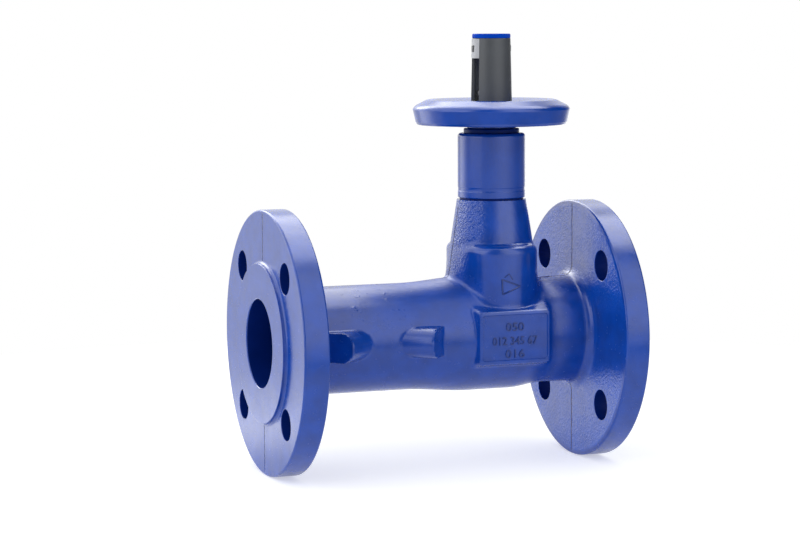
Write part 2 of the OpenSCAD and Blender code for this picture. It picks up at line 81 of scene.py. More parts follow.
BODY_LOW, BODY_HIGH = node_box("valve_body")
BONNET_LOW, BONNET_HIGH = node_box("bonnet")
COLLAR_LOW, COLLAR_HIGH = node_box("retaining_collar")
WHEEL_LOW, WHEEL_HIGH = node_box("handwheel")
TUBE_LOW, TUBE_HIGH = node_box("indicator_tube")
CAP_HIGH = node_box("tube_cap")[1]
STEM_LOW, STEM_HIGH = node_box("stem")

STEM_X = (STEM_LOW[0] + STEM_HIGH[0]) / 2
FACE_TO_FACE = BODY_HIGH[0]
NECK_TOP = BODY_HIGH[2]
FLANGE_R = -BODY_LOW[2]
BOLT_TURNS = [math.radians(turn) for turn in (45, 135, 225, 315)]
SMOOTH_BELOW = math.radians(32)
ON_STEM = Matrix.Translation((STEM_X, 0, 0))
ALONG_PIPE = Matrix.Rotation(math.radians(90), 4, "Y")


def length(name, text, value, low=0.0, high=0.3):
    """A length in metres, shown in the panel."""
    return FloatProperty(name=name, description=text, default=value, min=low, max=high, unit="LENGTH",
                         precision=5)


def angle(name, text, degrees):
    return FloatProperty(name=name, description=text, default=math.radians(degrees), subtype="ANGLE")


def strength(name, text, value):
    return FloatProperty(name=name, description=text, default=value, min=0)


def colour(name, text, value):
    return FloatVectorProperty(name=name, description=text, default=value, subtype="COLOR", size=3,
                               min=0, max=1)


class CastingSettings(PropertyGroup):
    """Sizes of the cast body."""
    bore_r: length("Bore", "Radius of the waterway at the ports", 0.0275)
    pipe_r: length("Pipe", "Outer radius of the inlet pipe", 0.0336)
    outlet_r: length("Outlet", "Outer radius of the pipe at the outlet flange", 0.034)
    chamber_r: length("Chamber", "Outer radius of the valve chamber", 0.0363)
    flange_t: length("Flange thickness", "Thickness with the raised face", 0.019)
    raised_r: length("Raised face", "Radius of the raised sealing face", 0.0495)
    raised_h: length("Raised height", "Height of the raised sealing face", 0.003)
    bolt_circle_r: length("Bolt circle", "Radius of the bolt circle", 0.0625)
    bolt_r: length("Bolt holes", "Radius of the bolt holes", 0.0095)
    hub_fillet: length("Hub fillet", "Fillet between pipe and flange", 0.0065)
    neck_r: length("Neck", "Radius at the neck's top", 0.022)
    neck_taper: angle("Neck taper", "Slope of the neck's sides", 8.7)
    pocket_r: length("Pocket", "Radius of the plug pocket's round ends", 0.025)
    pocket_off: length("Pocket offset", "Distance of those ends from the stem axis", 0.01)
    pocket_top: length("Pocket top", "Height of the pocket's shoulder", 0.0575)
    pocket_round: length("Pocket rounding", "Rounding of the pocket's shoulder", 0.005)
    neck_fillet: length("Neck fillet", "Fillet between neck and pocket", 0.0021)
    pipe_fillet: length("Pipe fillet", "Fillet where the neck and pocket meet the pipe", 0.0022)
    small_fillet: length("Small fillet", "Fillet round bosses and pad", 0.0013)
    edge_round: length("Edge rounding", "Rounding of cast edges", 0.0009)
    grid: length("Grid", "Spacing of the casting's surface points", 0.00115, 0.0006, 0.004)


class BossSettings(PropertyGroup):
    """Sizes of the sensor bosses and the pad."""
    boss_r: length("Boss", "Half width of a sensor boss", 0.0094)
    boss_angle: angle("Boss angle", "Angle between boss and pipe", 40)
    boss_reach: length("Boss reach", "Greatest distance from the pipe axis", 0.0481)
    boss_mid: length("Boss middle", "Middle of the two bosses along the pipe", 0.0713)
    boss_spread: length("Boss spread", "Distance of each boss from that middle", 0.0258)
    pad_w: length("Pad width", "Width of the pad's face", 0.048)
    pad_h: length("Pad height", "Height of the pad's face", 0.033)
    pad_reach: length("Pad reach", "Distance of the pad's face from the pipe axis", 0.0395)
    pad_rise: length("Pad rise", "Height of the pad's middle above the axis", 0.001)
    pad_draft: angle("Pad draft", "Slope of the pad's sides", 15)


class WheelSettings(PropertyGroup):
    """Sizes of the handwheel."""
    wall: length("Wall", "Thickness of the wheel's shell", 0.0035)
    foot_r: length("Foot", "Radius at the rim's lower edge", 0.048)
    rib_t: length("Rib", "Thickness of a rib", 0.003)
    ribs: IntProperty(name="Ribs", description="Ribs under the wheel", default=4, min=3, max=12)
    hub_r: length("Hub", "Radius of the hub", 0.0155)


class FinishSettings(PropertyGroup):
    """Colours of the finishes."""
    enamel: colour("Enamel", "Blue enamel of the castings", (0.001, 0.047, 0.33))
    tube: colour("Tube", "Grey plastic of the indicator", (0.05, 0.056, 0.064))
    cap: colour("Cap", "Blue plastic of the cap", (0.0, 0.05, 0.45))
    panel: colour("Panel", "Pale film above the slot", (0.36, 0.37, 0.39))


class StageSettings(PropertyGroup):
    """Lamp and surroundings."""
    key_power: strength("Key", "Power of the left softbox", 4.5)
    sky: strength("Sky", "Strength of the room's even light", 0.86)
    shine: strength("Shine", "Strength of the room in reflections", 1.0)
    overhead: strength("Overhead", "Strength overhead in reflections", 6.0)
    panel: strength("Rear panel", "Strength behind and above in reflections", 6.0)


# Meshes


def polar(radius, turn):
    return radius * math.cos(turn), radius * math.sin(turn)


def arc(cx, cy, radius, start, end, steps=6):
    """Points on a circular arc, angles in degrees."""
    turns = [math.radians(start + (end - start) * i / steps) for i in range(steps + 1)]
    return [(cx + x, cy + y) for x, y in (polar(radius, turn) for turn in turns)]


def held(profile, reach=0.15):
    """Adds a point near each end of a long straight run, so that its shading stays even in between."""
    out = [profile[0]]
    for a, b in zip(profile, profile[1:]):
        run = math.dist(a, b)
        if run > 8 * reach and min(a[0], b[0]) > reach:
            for share in (reach / run, 1 - reach / run):
                out.append((a[0] + (b[0] - a[0]) * share, a[1] + (b[1] - a[1]) * share))
        out.append(b)
    return out


def lathe(profile, segments=128):
    """Vertices and faces of an outline of (radius, height) turned about Z; a radius of 0 makes a pole."""
    verts, faces, rings = [], [], []
    profile = held(profile)
    closed = profile[0] == profile[-1]
    for radius, height in profile[:-1] if closed else profile:
        if radius <= 1e-6:
            rings.append([len(verts)])
            verts.append((0.0, 0.0, height))
            continue
        rings.append(list(range(len(verts), len(verts) + segments)))
        verts += [(*polar(radius, 2 * math.pi * i / segments), height) for i in range(segments)]
    if closed:
        rings.append(rings[0])
    for a, b in zip(rings, rings[1:]):
        for i in range(segments):
            j = (i + 1) % segments
            if len(a) == 1 and len(b) > 1:
                faces.append((a[0], b[j], b[i]))
            elif len(b) == 1 and len(a) > 1:
                faces.append((a[i], a[j], b[0]))
            elif len(a) > 1:
                faces.append((a[i], a[j], b[j], b[i]))
    return verts, faces


def placed(name, data):
    """A new object at the origin."""
    piece = bpy.data.objects.new(name, data)
    bpy.context.scene.collection.objects.link(piece)
    return piece


def face_outwards(mesh, weld=0.0):
    """Turns the faces outwards, after joining points that lie closer than a distance."""
    shape = bmesh.new()
    shape.from_mesh(mesh)
    if weld:
        bmesh.ops.remove_doubles(shape, verts=shape.verts, dist=weld)
    bmesh.ops.recalc_face_normals(shape, faces=shape.faces)
    shape.to_mesh(mesh)
    shape.free()


def mesh_object(name, verts, faces, matrix=None):
    """An object at the origin whose mesh is given in millimetres, with its faces turned outwards."""
    mesh = bpy.data.meshes.new(name)
    mesh.from_pydata([tuple(v) for v in verts], [], [tuple(f) for f in faces])
    mesh.transform(Matrix.Scale(MM, 4) @ (matrix or Matrix.Identity(4)))
    face_outwards(mesh)
    return placed(name, mesh)


def lathed(name, profile, matrix, segments=128):
    return mesh_object(name, *lathe(profile, segments), matrix)


def skinned(name, rings, matrix=None):
    """A closed tube through rings of points; each ring has the same number of them."""
    count = len(rings[0])
    verts = [point for ring in rings for point in ring]
    faces = [range(count), range(len(verts) - 1, len(verts) - count - 1, -1)]
    for a, i in product(range(0, len(verts) - count, count), range(count)):
        b, j = a + count, (i + 1) % count
        faces.append((a + i, a + j, b + j, b + i))
    return mesh_object(name, verts, faces, matrix)


def prism(name, outline, low, high, matrix=None):
    """An upright solid with one outline from bottom to top."""
    return skinned(name, [[(x, y, z) for x, y in outline] for z in (low, high)], matrix)


def block(name, low, high, matrix=None):
    """A box between two corners."""
    outline = [(low[0], low[1]), (high[0], low[1]), (high[0], high[1]), (low[0], high[1])]
    return prism(name, outline, low[2], high[2], matrix)


def baked(piece):
    """Replaces a piece's mesh by its modified one and drops the modifiers."""
    graph = bpy.context.evaluated_depsgraph_get()
    mesh = bpy.data.meshes.new_from_object(piece.evaluated_get(graph))
    old = piece.data
    piece.modifiers.clear()
    piece.data = mesh
    bpy.data.meshes.remove(old)
    return piece


def bevelled(piece, width, segments, **settings):
    """Rounds a piece's edges; the width is in millimetres."""
    step = piece.modifiers.new("edges", "BEVEL")
    step.width, step.segments = width * MM, segments
    for key, value in settings.items():
        setattr(step, key, value)
    return baked(piece)


def remove(piece):
    bpy.data.objects.remove(piece, do_unlink=True)


def combine(piece, tool, operation):
    """Joins a piece with a tool or cuts it, and removes the tool."""
    step = piece.modifiers.new("combine", "BOOLEAN")
    step.operation = operation
    step.solver = "MANIFOLD"
    step.object = tool
    baked(piece)
    remove(tool)
    if not piece.data.polygons:
        raise RuntimeError(f"{piece.name} came out empty")
    return piece


def joined(pieces, name=None):
    """Puts several meshes that don't touch into the first."""
    first = pieces[0]
    shape = bmesh.new()
    for piece in pieces:
        shape.from_mesh(piece.data)
    shape.to_mesh(first.data)
    shape.free()
    for piece in pieces[1:]:
        remove(piece)
    first.name = name or first.name
    return first


def finished(piece, material, body, replaces=()):
    """Shades a piece smooth up to an edge angle, gives it its finish and lets it ride on its body."""
    mesh = piece.data
    mesh.shade_smooth()
    mesh.set_sharp_from_angle(angle=SMOOTH_BELOW)
    weights = piece.modifiers.new("normals", "WEIGHTED_NORMAL")
    weights.keep_sharp = True
    baked(piece)
    piece.data.materials.clear()
    piece.data.materials.append(finish(material))
    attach(piece, body)
    if replaces:
        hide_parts(*replaces)
    return piece


def repainted(piece, name, chosen):
    """Gives another finish to the faces whose middle, in millimetres, is chosen."""
    piece.data.materials.append(finish(name))
    for face in piece.data.polygons:
        if chosen(*(face.center / MM)):
            face.material_index = 1


# The casting's surface as a distance field


def join_round(a, b, fillet):
    """Union of two distance fields, with a round fillet in the corner."""
    u = np.maximum(fillet - a, 0)
    v = np.maximum(fillet - b, 0)
    return np.maximum(fillet, np.minimum(a, b)) - np.hypot(u, v)


def cross_round(a, b, radius):
    """Overlap of two distance fields, with a rounded edge."""
    return -join_round(-a, -b, radius)


def ease(x, start, end):
    """A smooth step from 0 at start to 1 at end."""
    s = np.clip((x - start) / (end - start), 0, 1)
    return (1 - np.cos(math.pi * s)) / 2


class CastingShape:
    """Distance to the outside of pipe, neck, pocket, bosses and pad, in millimetres."""
    waist = 0.4
    end_round = 3.0
    pad_round = 2.5
    pad_edge = 1.1
    boss_room = 3.0

    def __init__(self, casting, boss):
        for group in (casting, boss):
            for key in group.bl_rna.properties.keys():
                value = getattr(group, key)
                if isinstance(value, float):
                    unit = 1 if "angle" in key or "taper" in key or "draft" in key else MM
                    setattr(self, key, value / unit)
        hub = self.flange_t + self.hub_fillet
        self.inlet_seam = hub + 2.5
        self.outlet_seam = FACE_TO_FACE - hub - 0.2
        self.swell = (STEM_X - 63, STEM_X - 19)
        self.narrow = (STEM_X + 8, STEM_X + 33)
        self.widen = (STEM_X + 27, FACE_TO_FACE - hub)

    def wall_radius(self, x):
        swelling = self.pipe_r + (self.chamber_r - self.pipe_r) * ease(x, *self.swell)
        narrowing = (self.outlet_r - self.waist - self.chamber_r) * ease(x, *self.narrow)
        return swelling + narrowing + self.waist * ease(x, *self.widen)

    def pipe(self, x, y, z):
        return np.hypot(y, z) - self.wall_radius(x)

    def neck(self, x, y, z):
        radius = self.neck_r + (NECK_TOP - z) * math.tan(self.neck_taper)
        side = (np.hypot(x - STEM_X, y) - radius) * math.cos(self.neck_taper)
        return cross_round(side, self.pipe_r / 3 - z, self.end_round)

    def pocket(self, x, y, z):
        side = np.hypot(x - STEM_X, np.maximum(np.abs(y) - self.pocket_off, 0)) - self.pocket_r
        return cross_round(cross_round(side, z - self.pocket_top, self.pocket_round), 2.0 - z, self.end_round)

    def boss(self, x, y, z, side):
        away = side * (self.boss_mid - x) + self.boss_spread
        out = y + self.boss_reach
        cos, sin = math.cos(self.boss_angle), math.sin(self.boss_angle)
        along = away * cos + out * sin
        inward = -away * sin + out * cos
        wall = np.hypot(np.minimum(inward - self.boss_r, 0), z) - self.boss_r
        solid = cross_round(wall, -along, self.edge_round)
        sunk = self.boss_reach - self.pipe_r + self.boss_room
        return np.maximum(solid, np.maximum(inward - sunk / cos - 2, along - sunk / sin - 4))

    def pad(self, x, y, z):
        slope, cos = math.tan(self.pad_draft), math.cos(self.pad_draft)
        deep = y + self.pad_reach
        width = (np.abs(x - STEM_X) - self.pad_w / 2 - deep * slope) * cos
        height = (np.abs(z - self.pad_rise) - self.pad_h / 2 - deep * slope) * cos
        sides = cross_round(width, height, self.pad_round)
        return np.maximum(cross_round(sides, -deep, self.pad_edge), y + self.pipe_r / 2)

    def __call__(self, x, y, z):
        upper = join_round(self.neck(x, y, z), self.pocket(x, y, z), self.neck_fillet)
        solid = join_round(upper, self.pipe(x, y, z), self.pipe_fillet)
        solid = join_round(solid, self.pad(x, y, z), self.small_fillet)
        for side in (-1, 1):
            solid = join_round(solid, self.boss(x, y, z, side), self.small_fillet)
        return solid


def surface_net(field, low, step):
    """Quads on the zero level of a sampled field that is negative inside; one point for each crossed cell."""
    cells = tuple(n - 1 for n in field.shape)
    inside = field < 0
    total = np.zeros(cells, np.int8)
    for i, j, k in product((0, 1), repeat=3):
        total += inside[i:i + cells[0], j:j + cells[1], k:k + cells[2]]
    crossed = (total > 0) & (total < 8)
    number = np.full(cells, -1, np.int64)
    cell = np.argwhere(crossed)
    number[crossed] = np.arange(len(cell))
    place = np.zeros((len(cell), 3))
    hits = np.zeros(len(cell))
    for axis, b, c in product(range(3), (0, 1), (0, 1)):
        along = np.eye(3, dtype=int)[axis]
        start = np.roll((0, b, c), axis)
        near = field[tuple((cell + start).T)]
        far = field[tuple((cell + start + along).T)]
        cut = (near < 0) != (far < 0)
        share = near[cut] / (near[cut] - far[cut])
        place[cut] += cell[cut] + start + share[:, None] * along
        hits[cut] += 1
    points = np.array(low) + place / hits[:, None] * step
    quads = []
    for axis in range(3):
        a, b = (axis + 1) % 3, (axis + 2) % 3
        change = np.diff(inside.astype(np.int8), axis=axis)
        for sign, order in ((-1, 1), (1, -1)):
            edge = np.argwhere(change == sign)
            for side in (a, b):
                edge = edge[(edge[:, side] > 0) & (edge[:, side] < cells[side])]
            corners = [number[tuple((edge - np.roll((0, da, db), axis)).T)]
                       for da, db in ((1, 1), (0, 1), (0, 0), (1, 0))]
            quads.append(np.stack(corners[::order], axis=1))
    return points, np.concatenate(quads)


def settled(points, shape, rounds=2, d=0.05):
    """Moves points onto the zero level of a shape, along its slope."""
    for _ in range(rounds):
        value = shape(*points.T)
        rise = [shape(*(points + d * unit).T) - shape(*(points - d * unit).T) for unit in np.eye(3)]
        slope = np.stack(rise, axis=1) / (2 * d)
        size = np.maximum((slope ** 2).sum(axis=1), 0.25)
        points = points - slope * (value / size)[:, None]
    return points


def ring_edge(shape, x):
    """Vertices of an open edge at a place along the pipe, in order of their angle round it."""
    found = [v for v in shape.verts if v.is_boundary and abs(v.co.x - x) < 0.02]
    return sorted(found, key=lambda v: math.atan2(v.co.z, v.co.y))


def zip_rings(shape, a, b):
    """Closes the gap between two rings that are each sorted by angle."""
    def angle(ring, i):
        v = ring[i % len(ring)].co
        return math.atan2(v.z, v.y) + 2 * math.pi * (i // len(ring))
    i = j = 0
    while i < len(a) or j < len(b):
        if j >= len(b) or (i < len(a) and angle(a, i + 1) < angle(b, j + 1)):
            shape.faces.new((a[i % len(a)], a[(i + 1) % len(a)], b[j % len(b)]))
            i += 1
        else:
            shape.faces.new((a[i % len(a)], b[(j + 1) % len(b)], b[j % len(b)]))
            j += 1


def flange_outline(casting, pipe, seam):
    """Outline of a flange as (radius, depth), from the pipe at the seam to the middle of its face."""
    edge, rim, foot = 0.35, 1.3, 2.0
    t, h, r = casting.flange_t, casting.raised_h, casting.raised_r
    fillet = casting.hub_fillet
    return (
        [(pipe, seam - 0.6)]
        + arc(pipe + fillet, t + fillet, fillet, 180, 270, 8)
        + [(casting.bolt_circle_r, t)]
        + arc(FLANGE_R - rim, t - rim, rim, 90, 0, 6)
        + arc(FLANGE_R - rim, h + rim, rim, 0, -90, 6)
        + [(casting.bolt_circle_r, h)]
        + arc(r + foot, h - foot, foot, 90, 180, 7)[:-1]
        + arc(r - edge, edge, edge, 0, -90, 4)
        + [(casting.bore_r + 4, 0), (casting.bore_r - 4, 0), (0, 0)]
    )


def casting_skin(shape):
    """The closed outer skin of the casting: a meshed middle zipped to two lathed flanges."""
    step = shape.grid
    low = np.array([shape.inlet_seam, -shape.boss_reach, -shape.chamber_r]) - 2 * step
    high = np.array([shape.outlet_seam + 2 * step, shape.chamber_r + 3 * step, NECK_TOP + 4])
    counts = np.ceil((high - low) / step).astype(int) + 1
    field = shape(*np.ix_(*(low[i] + step * np.arange(counts[i]) for i in range(3))))
    field[:, :, -1] = np.maximum(field[:, :, -1], 0.5 * step)
    points, quads = surface_net(field, low, step)
    below_top = points[:, 2] <= high[2] - 2 * step
    points[below_top] = settled(points[below_top], shape)
    skin = bmesh.new()
    mesh = bpy.data.meshes.new("valve_casting")
    mesh.from_pydata(points.tolist(), [], quads.tolist())
    skin.from_mesh(mesh)
    ends = ((shape.inlet_seam, shape.pipe_r, False), (shape.outlet_seam, shape.outlet_r, True))
    for seam, _, mirrored in ends:
        geometry = skin.verts[:] + skin.edges[:] + skin.faces[:]
        bmesh.ops.bisect_plane(skin, geom=geometry, dist=1e-4, plane_co=(seam, 0, 0),
                               plane_no=(1 if mirrored else -1, 0, 0), clear_outer=True)
    for seam, pipe, mirrored in ends:
        depth = FACE_TO_FACE - seam if mirrored else seam
        verts, faces = lathe(flange_outline(shape, pipe, depth), 256)
        made = [skin.verts.new((FACE_TO_FACE - z if mirrored else z, x, y)) for x, y, z in verts]
        for face in faces:
            skin.faces.new([made[i] for i in face])
        zip_rings(skin, ring_edge(skin, seam), ring_edge(skin, made[0].co.x))
    bmesh.ops.recalc_face_normals(skin, faces=skin.faces)
    skin.to_mesh(mesh)
    skin.free()
    mesh.transform(Matrix.Scale(MM, 4))
    return placed("valve_casting", mesh)


def seat_matrix():
    """Turns an upright shape onto the inclined seat, facing the plug."""
    tilt, plug_t = math.radians(30), 8.0
    place = Matrix.Translation((STEM_X - plug_t / 2 * math.cos(tilt), 0, 0))
    return place @ Matrix.Rotation(math.radians(90) - tilt, 4, "Y")


def waterway(shape):
    """The cavity: both bores, the chamber with its inclined seat wall, and the plug pocket."""
    wall, cone, seat_wall, port_r, mouth = 5.5, 6, 6.0, 23.0, 0.8
    inner, bore_r = shape.chamber_r - wall, shape.bore_r
    x0, x1 = STEM_X - 41, STEM_X + 37
    outline = [(0, x0), (bore_r, x0), (inner, x0 + cone), (inner, x1 - cone), (bore_r, x1), (0, x1)]
    cavity = lathed("chamber", outline, ALONG_PIPE)
    off, radius = shape.pocket_off, shape.pocket_r - 5
    outline = arc(0, off, radius, 0, 180, 32) + arc(0, -off, radius, 180, 360, 32)
    combine(cavity, prism("pocket", outline, 0, shape.pocket_top - 5, ON_STEM), "UNION")
    for disc_r, past, operation in ((80, 0, "DIFFERENCE"), (port_r, 2, "UNION")):
        outline = [(0, -seat_wall - past), (disc_r, -seat_wall - past), (disc_r, past), (0, past)]
        combine(cavity, lathed("disc", outline, seat_matrix()), operation)
    for end, inward, deep in ((0, 1, x0 + 1), (FACE_TO_FACE, -1, FACE_TO_FACE - x1 + 1)):
        outline = ([(0, -1), (bore_r + mouth, -1)] + arc(bore_r + mouth, mouth, mouth, -90, -180, 5)
                   + [(bore_r, deep), (0, deep)])
        bore = lathed("bore", [(r, end + inward * d) for r, d in outline], ALONG_PIPE, 192)
        combine(cavity, bore, "UNION")
    ceiling, thread, bush_r, spigot_r = shape.pocket_top - 6, NECK_TOP - 17, 12, 17
    outline = [(0, ceiling), (bush_r, ceiling), (bush_r, thread), (spigot_r, thread),
               (spigot_r, NECK_TOP + 8), (0, NECK_TOP + 8)]
    return combine(cavity, lathed("passage", outline, ON_STEM), "UNION")


def bolt_hole_tools(shape):
    """Eight cutters for the bolt holes, with rounded mouths."""
    edge, past, r = 0.6, 2, shape.bolt_r
    tools = []
    for front, back in ((shape.raised_h, shape.flange_t),
                        (FACE_TO_FACE - shape.flange_t, FACE_TO_FACE - shape.raised_h)):
        outline = (
            [(0, front - past), (r + edge, front - past)]
            + arc(r + edge, front + edge, edge, -90, -180, 4)
            + arc(r + edge, back - edge, edge, 180, 90, 4)
            + [(r + edge, back + past), (0, back + past)]
        )
        for turn in BOLT_TURNS:
            place = Matrix.Translation((0, *polar(shape.bolt_circle_r, turn)))
            tools.append(lathed("bolt", outline, place @ ALONG_PIPE, 64))
    return joined(tools)


def pad_recess(shape):
    """A shallow field with rounded corners and sloping sides, sunk into the pad."""
    border, deep, corner = 2.5, 0.7, 1.4
    rings = []
    for y, grow in ((-shape.pad_reach - deep, deep), (-shape.pad_reach + deep, 0.0)):
        w, h = shape.pad_w / 2 - border + grow - corner, shape.pad_h / 2 - border + grow - corner
        outline = (arc(w, h, corner, 0, 90, 5) + arc(-w, h, corner, 90, 180, 5)
                   + arc(-w, -h, corner, 180, 270, 5) + arc(w, -h, corner, 270, 360, 5))
        rings.append([(STEM_X + x, y, shape.pad_rise + z) for x, z in outline])
    return skinned("recess", rings)


# Materials


class Nodes:
    """Short calls for building a node tree."""

    def __init__(self, tree):
        self.tree = tree

    def feed(self, node, sockets):
        """Links sockets to other nodes' outputs, or sets them to plain values."""
        for key, source in sockets.items():
            if isinstance(source, bpy.types.NodeSocket):
                self.tree.links.new(source, node.inputs[key])
            else:
                node.inputs[key].default_value = source
        return node

    def add(self, kind, sockets=None, **settings):
        node = self.tree.nodes.new(kind)
        for key, value in settings.items():
            setattr(node, key, value)
        return self.feed(node, sockets or {})

    def value(self, operation, a, b=0.0, clamp=False):
        return self.add("ShaderNodeMath", {0: a, 1: b}, operation=operation, use_clamp=clamp).outputs[0]

    def times(self, *factors):
        return reduce(lambda a, b: self.value("MULTIPLY", a, b), factors)

    def plus(self, *terms):
        return reduce(lambda a, b: self.value("ADD", a, b), terms)

    def minus(self, a, b):
        return self.value("SUBTRACT", a, b)

    def spread(self, source, low, high, to_low=0.0, to_high=1.0, **settings):
        """Maps one range of a value to another, and holds it there."""
        ranges = {"Value": source, "From Min": low, "From Max": high, "To Min": to_low, "To Max": to_high}
        return self.add("ShaderNodeMapRange", ranges, clamp=True, **settings).outputs["Result"]

    def vector(self, *parts):
        return self.add("ShaderNodeCombineXYZ", dict(enumerate(parts))).outputs[0]

    def mix(self, factor, first, second, kind="FLOAT"):
        sockets = {"Factor": factor, "A": first, "B": second}
        return self.add("ShaderNodeMix", sockets, data_type=kind).outputs["Result"]


class MaterialNodes(Nodes):
    """The nodes of a new material, placed by object coordinates."""

    def __init__(self, name):
        self.material = bpy.data.materials.new(name)
        self.material.use_nodes = True
        super().__init__(self.material.node_tree)
        self.shader = self.tree.nodes["Principled BSDF"]
        self.place = self.add("ShaderNodeTexCoord").outputs["Object"]

    def noise(self, scale, detail=2.0, rough=0.5, place=None):
        sockets = {"Scale": scale, "Detail": detail, "Roughness": rough, "Vector": place or self.place}
        return self.add("ShaderNodeTexNoise", sockets).outputs["Fac"]

    def axes(self):
        return self.add("ShaderNodeSeparateXYZ", {0: self.place}).outputs

    def tint(self, factor, first, second):
        return self.mix(factor, (*first, 1), (*second, 1), "RGBA")

    def mottled(self, source, low, high, rgb, darker, lighter):
        """A paint that varies between a darker and a lighter version of a colour."""
        dark, light = (tuple(min(c * share, 1) for c in rgb) for share in (darker, lighter))
        return self.tint(self.spread(source, low, high), dark, light)

    def bump(self, height, distance, below=None):
        sockets = {"Distance": distance, "Strength": 1.0, "Height": height}
        if below is not None:
            sockets["Normal"] = below
        return self.add("ShaderNodeBump", sockets).outputs["Normal"]

    def set(self, **values):
        self.feed(self.shader, {key.replace("_", " "): value for key, value in values.items()})
        return self.material


def cast_enamel(name, rgb):
    """Glossy blue enamel over sand-cast iron, with the mould's parting line and rough skin; painted shade
    darkens the line and a painted sheen lightens the rough skin.
    """
    n = MaterialNodes(name)
    x, y, z = n.axes()
    radius = n.value("SQRT", n.plus(n.times(y, y), n.times(z, z)))
    lumps, peel, grain = n.noise(34), n.noise(330, 3.0, 0.6), n.noise(680, 2.0, 0.6)
    patches = n.noise(24)
    # Rough skin: left on the neck as the photo shows it, and on the back of the outlet flange
    across = n.minus(n.times(n.minus(x, STEM_X * MM), 0.938), n.times(y, 0.345))
    across = n.plus(across, n.spread(z, 0.055, 0.062, 0.013, 0.0))
    neck = n.times(n.spread(z, 0.036, 0.044), n.spread(across, -0.016, -0.001, 1.0, 0.0),
                   n.spread(x, 0.09, 0.1))
    outlet = n.times(n.spread(x, 0.2085, 0.2115), n.spread(radius, 0.079, 0.081, 1.0, 0.0),
                     n.spread(x, 0.2125, 0.2135, 0.6, 0.0),
                     n.spread(n.value("ABSOLUTE", z), 0.014, 0.03, 0.1, 1.0))
    rough = n.value("MAXIMUM", neck, outlet)
    rough = n.value("MULTIPLY", rough, n.spread(patches, 0.32, 0.55, 0.45, 1.0), clamp=True)
    grain_height = n.times(grain, n.plus(rough, 0.012))
    dents = n.times(n.spread(n.noise(230, 1.0), 0.66, 0.76), n.spread(z, 0.008, 0.02),
                    n.spread(x, 0.085, 0.11, 1.0, 0.0), n.spread(x, 0.019, 0.024))
    # Parting line in the mould's plane, except on the inlet's raised face and the flange rims
    wobble = n.times(n.minus(n.noise(210), 0.5), 0.0009)
    off_plane = n.value("ABSOLUTE", n.plus(y, wobble))
    machined = n.times(n.spread(x, 0.0027, 0.003, 1.0, 0.0), n.spread(radius, 0.052, 0.0525, 1.0, 0.0))
    line = n.times(n.spread(off_plane, 0.0003, 0.0009, 1.0, 0.0), n.spread(grain, 0.35, 0.5, 0.5, 1.0),
                   n.spread(radius, 0.0795, 0.0805, 1.0, 0.0), n.minus(1.0, machined))
    normal = n.bump(lumps, 0.0005)
    for height, distance in ((peel, 0.00004), (grain_height, 0.0013), (dents, 0.0002),
                             (n.times(line, -1.0), 0.0002)):
        normal = n.bump(height, distance, normal)
    paint = n.mottled(n.noise(90, 4.0), 0.35, 0.65, rgb, 0.86, 1.1)
    # Painted sheen: the rough skin gets a paler paint, strongest on the outlet flange, standing in for the
    # light its grain scatters
    painted_sheen = n.times(rough, n.spread(x, 0.16, 0.19, 0.2, 1.0))
    paint = n.mix(painted_sheen, paint, (rgb[0] * 8, rgb[1] * 2.4, rgb[2] * 2.0, 1), "RGBA")
    # Painted shade: the parting line's fin is a real bump, and its paint is made near-black with little shine
    # to stand in for the shade along it
    line_shaded_paint = n.mix(line, paint, (0, rgb[1] * 0.2, rgb[2] * 0.3, 1), "RGBA")
    # Duller low down, and most of all on top of the pipe round the pocket
    gloss = n.plus(n.spread(peel, 0.3, 0.7, 0.17, 0.25), n.spread(z, 0.03, 0.045, 0.03, 0.0))
    gloss = n.minus(gloss, n.times(rough, 0.06))
    root = n.times(n.spread(z, 0.006, 0.02), n.spread(z, 0.034, 0.042, 1.0, 0.0), n.spread(x, 0.05, 0.085),
                   n.spread(x, 0.125, 0.14, 1.0, 0.0))
    return n.set(Base_Color=line_shaded_paint, Roughness=n.plus(gloss, n.times(root, 0.16)), Normal=normal,
                 Specular_IOR_Level=n.spread(line, 0.0, 1.0, 0.5, 0.05))


def smooth_enamel(name, rgb, peel_size=520):
    """Glossy blue enamel on a turned or die-cast piece."""
    n = MaterialNodes(name)
    waves, peel = n.noise(30, 1.0), n.noise(peel_size, 3.0, 0.55)
    return n.set(Base_Color=n.mottled(n.noise(70, 3.0), 0.35, 0.65, rgb, 0.9, 1.08),
                 Roughness=n.spread(peel, 0.3, 0.7, 0.17, 0.25),
                 Normal=n.bump(peel, 0.00003, n.bump(waves, 0.0003)))


def plastic(name, rgb, roughness, grain=900, depth=0.00003, shine=0.5):
    """Moulded plastic with a fine grain and faint flow marks."""
    n = MaterialNodes(name)
    flow = n.noise(60, 3.0)
    return n.set(Base_Color=n.mottled(flow, 0.3, 0.7, rgb, 0.88, 1.12),
                 Roughness=n.spread(flow, 0.3, 0.7, roughness - 0.05, roughness + 0.07),
                 Normal=n.bump(n.noise(grain), depth), Specular_IOR_Level=shine)


def metal(name, rgb, roughness, stretch=(60, 60, 4200)):
    """Turned or ground metal with fine tool marks."""
    n = MaterialNodes(name)
    place = n.add("ShaderNodeMapping", {"Vector": n.place, "Scale": stretch}).outputs["Vector"]
    marks = n.noise(1.0, 3.0, place=place)
    return n.set(Base_Color=n.mottled(marks, 0.35, 0.65, rgb, 0.85, 1.1), Metallic=1.0,
                 Roughness=n.spread(marks, 0.3, 0.7, roughness - 0.06, roughness + 0.1),
                 Normal=n.bump(marks, 0.00002))


def rubber(name, rgb):
    """Matt moulded rubber with a dusty bloom."""
    n = MaterialNodes(name)
    bloom = n.noise(140, 4.0)
    return n.set(Base_Color=n.mottled(bloom, 0.35, 0.7, rgb, 0.7, 1.5),
                 Roughness=n.spread(bloom, 0.3, 0.7, 0.55, 0.75), Normal=n.bump(n.noise(1100), 0.00004))


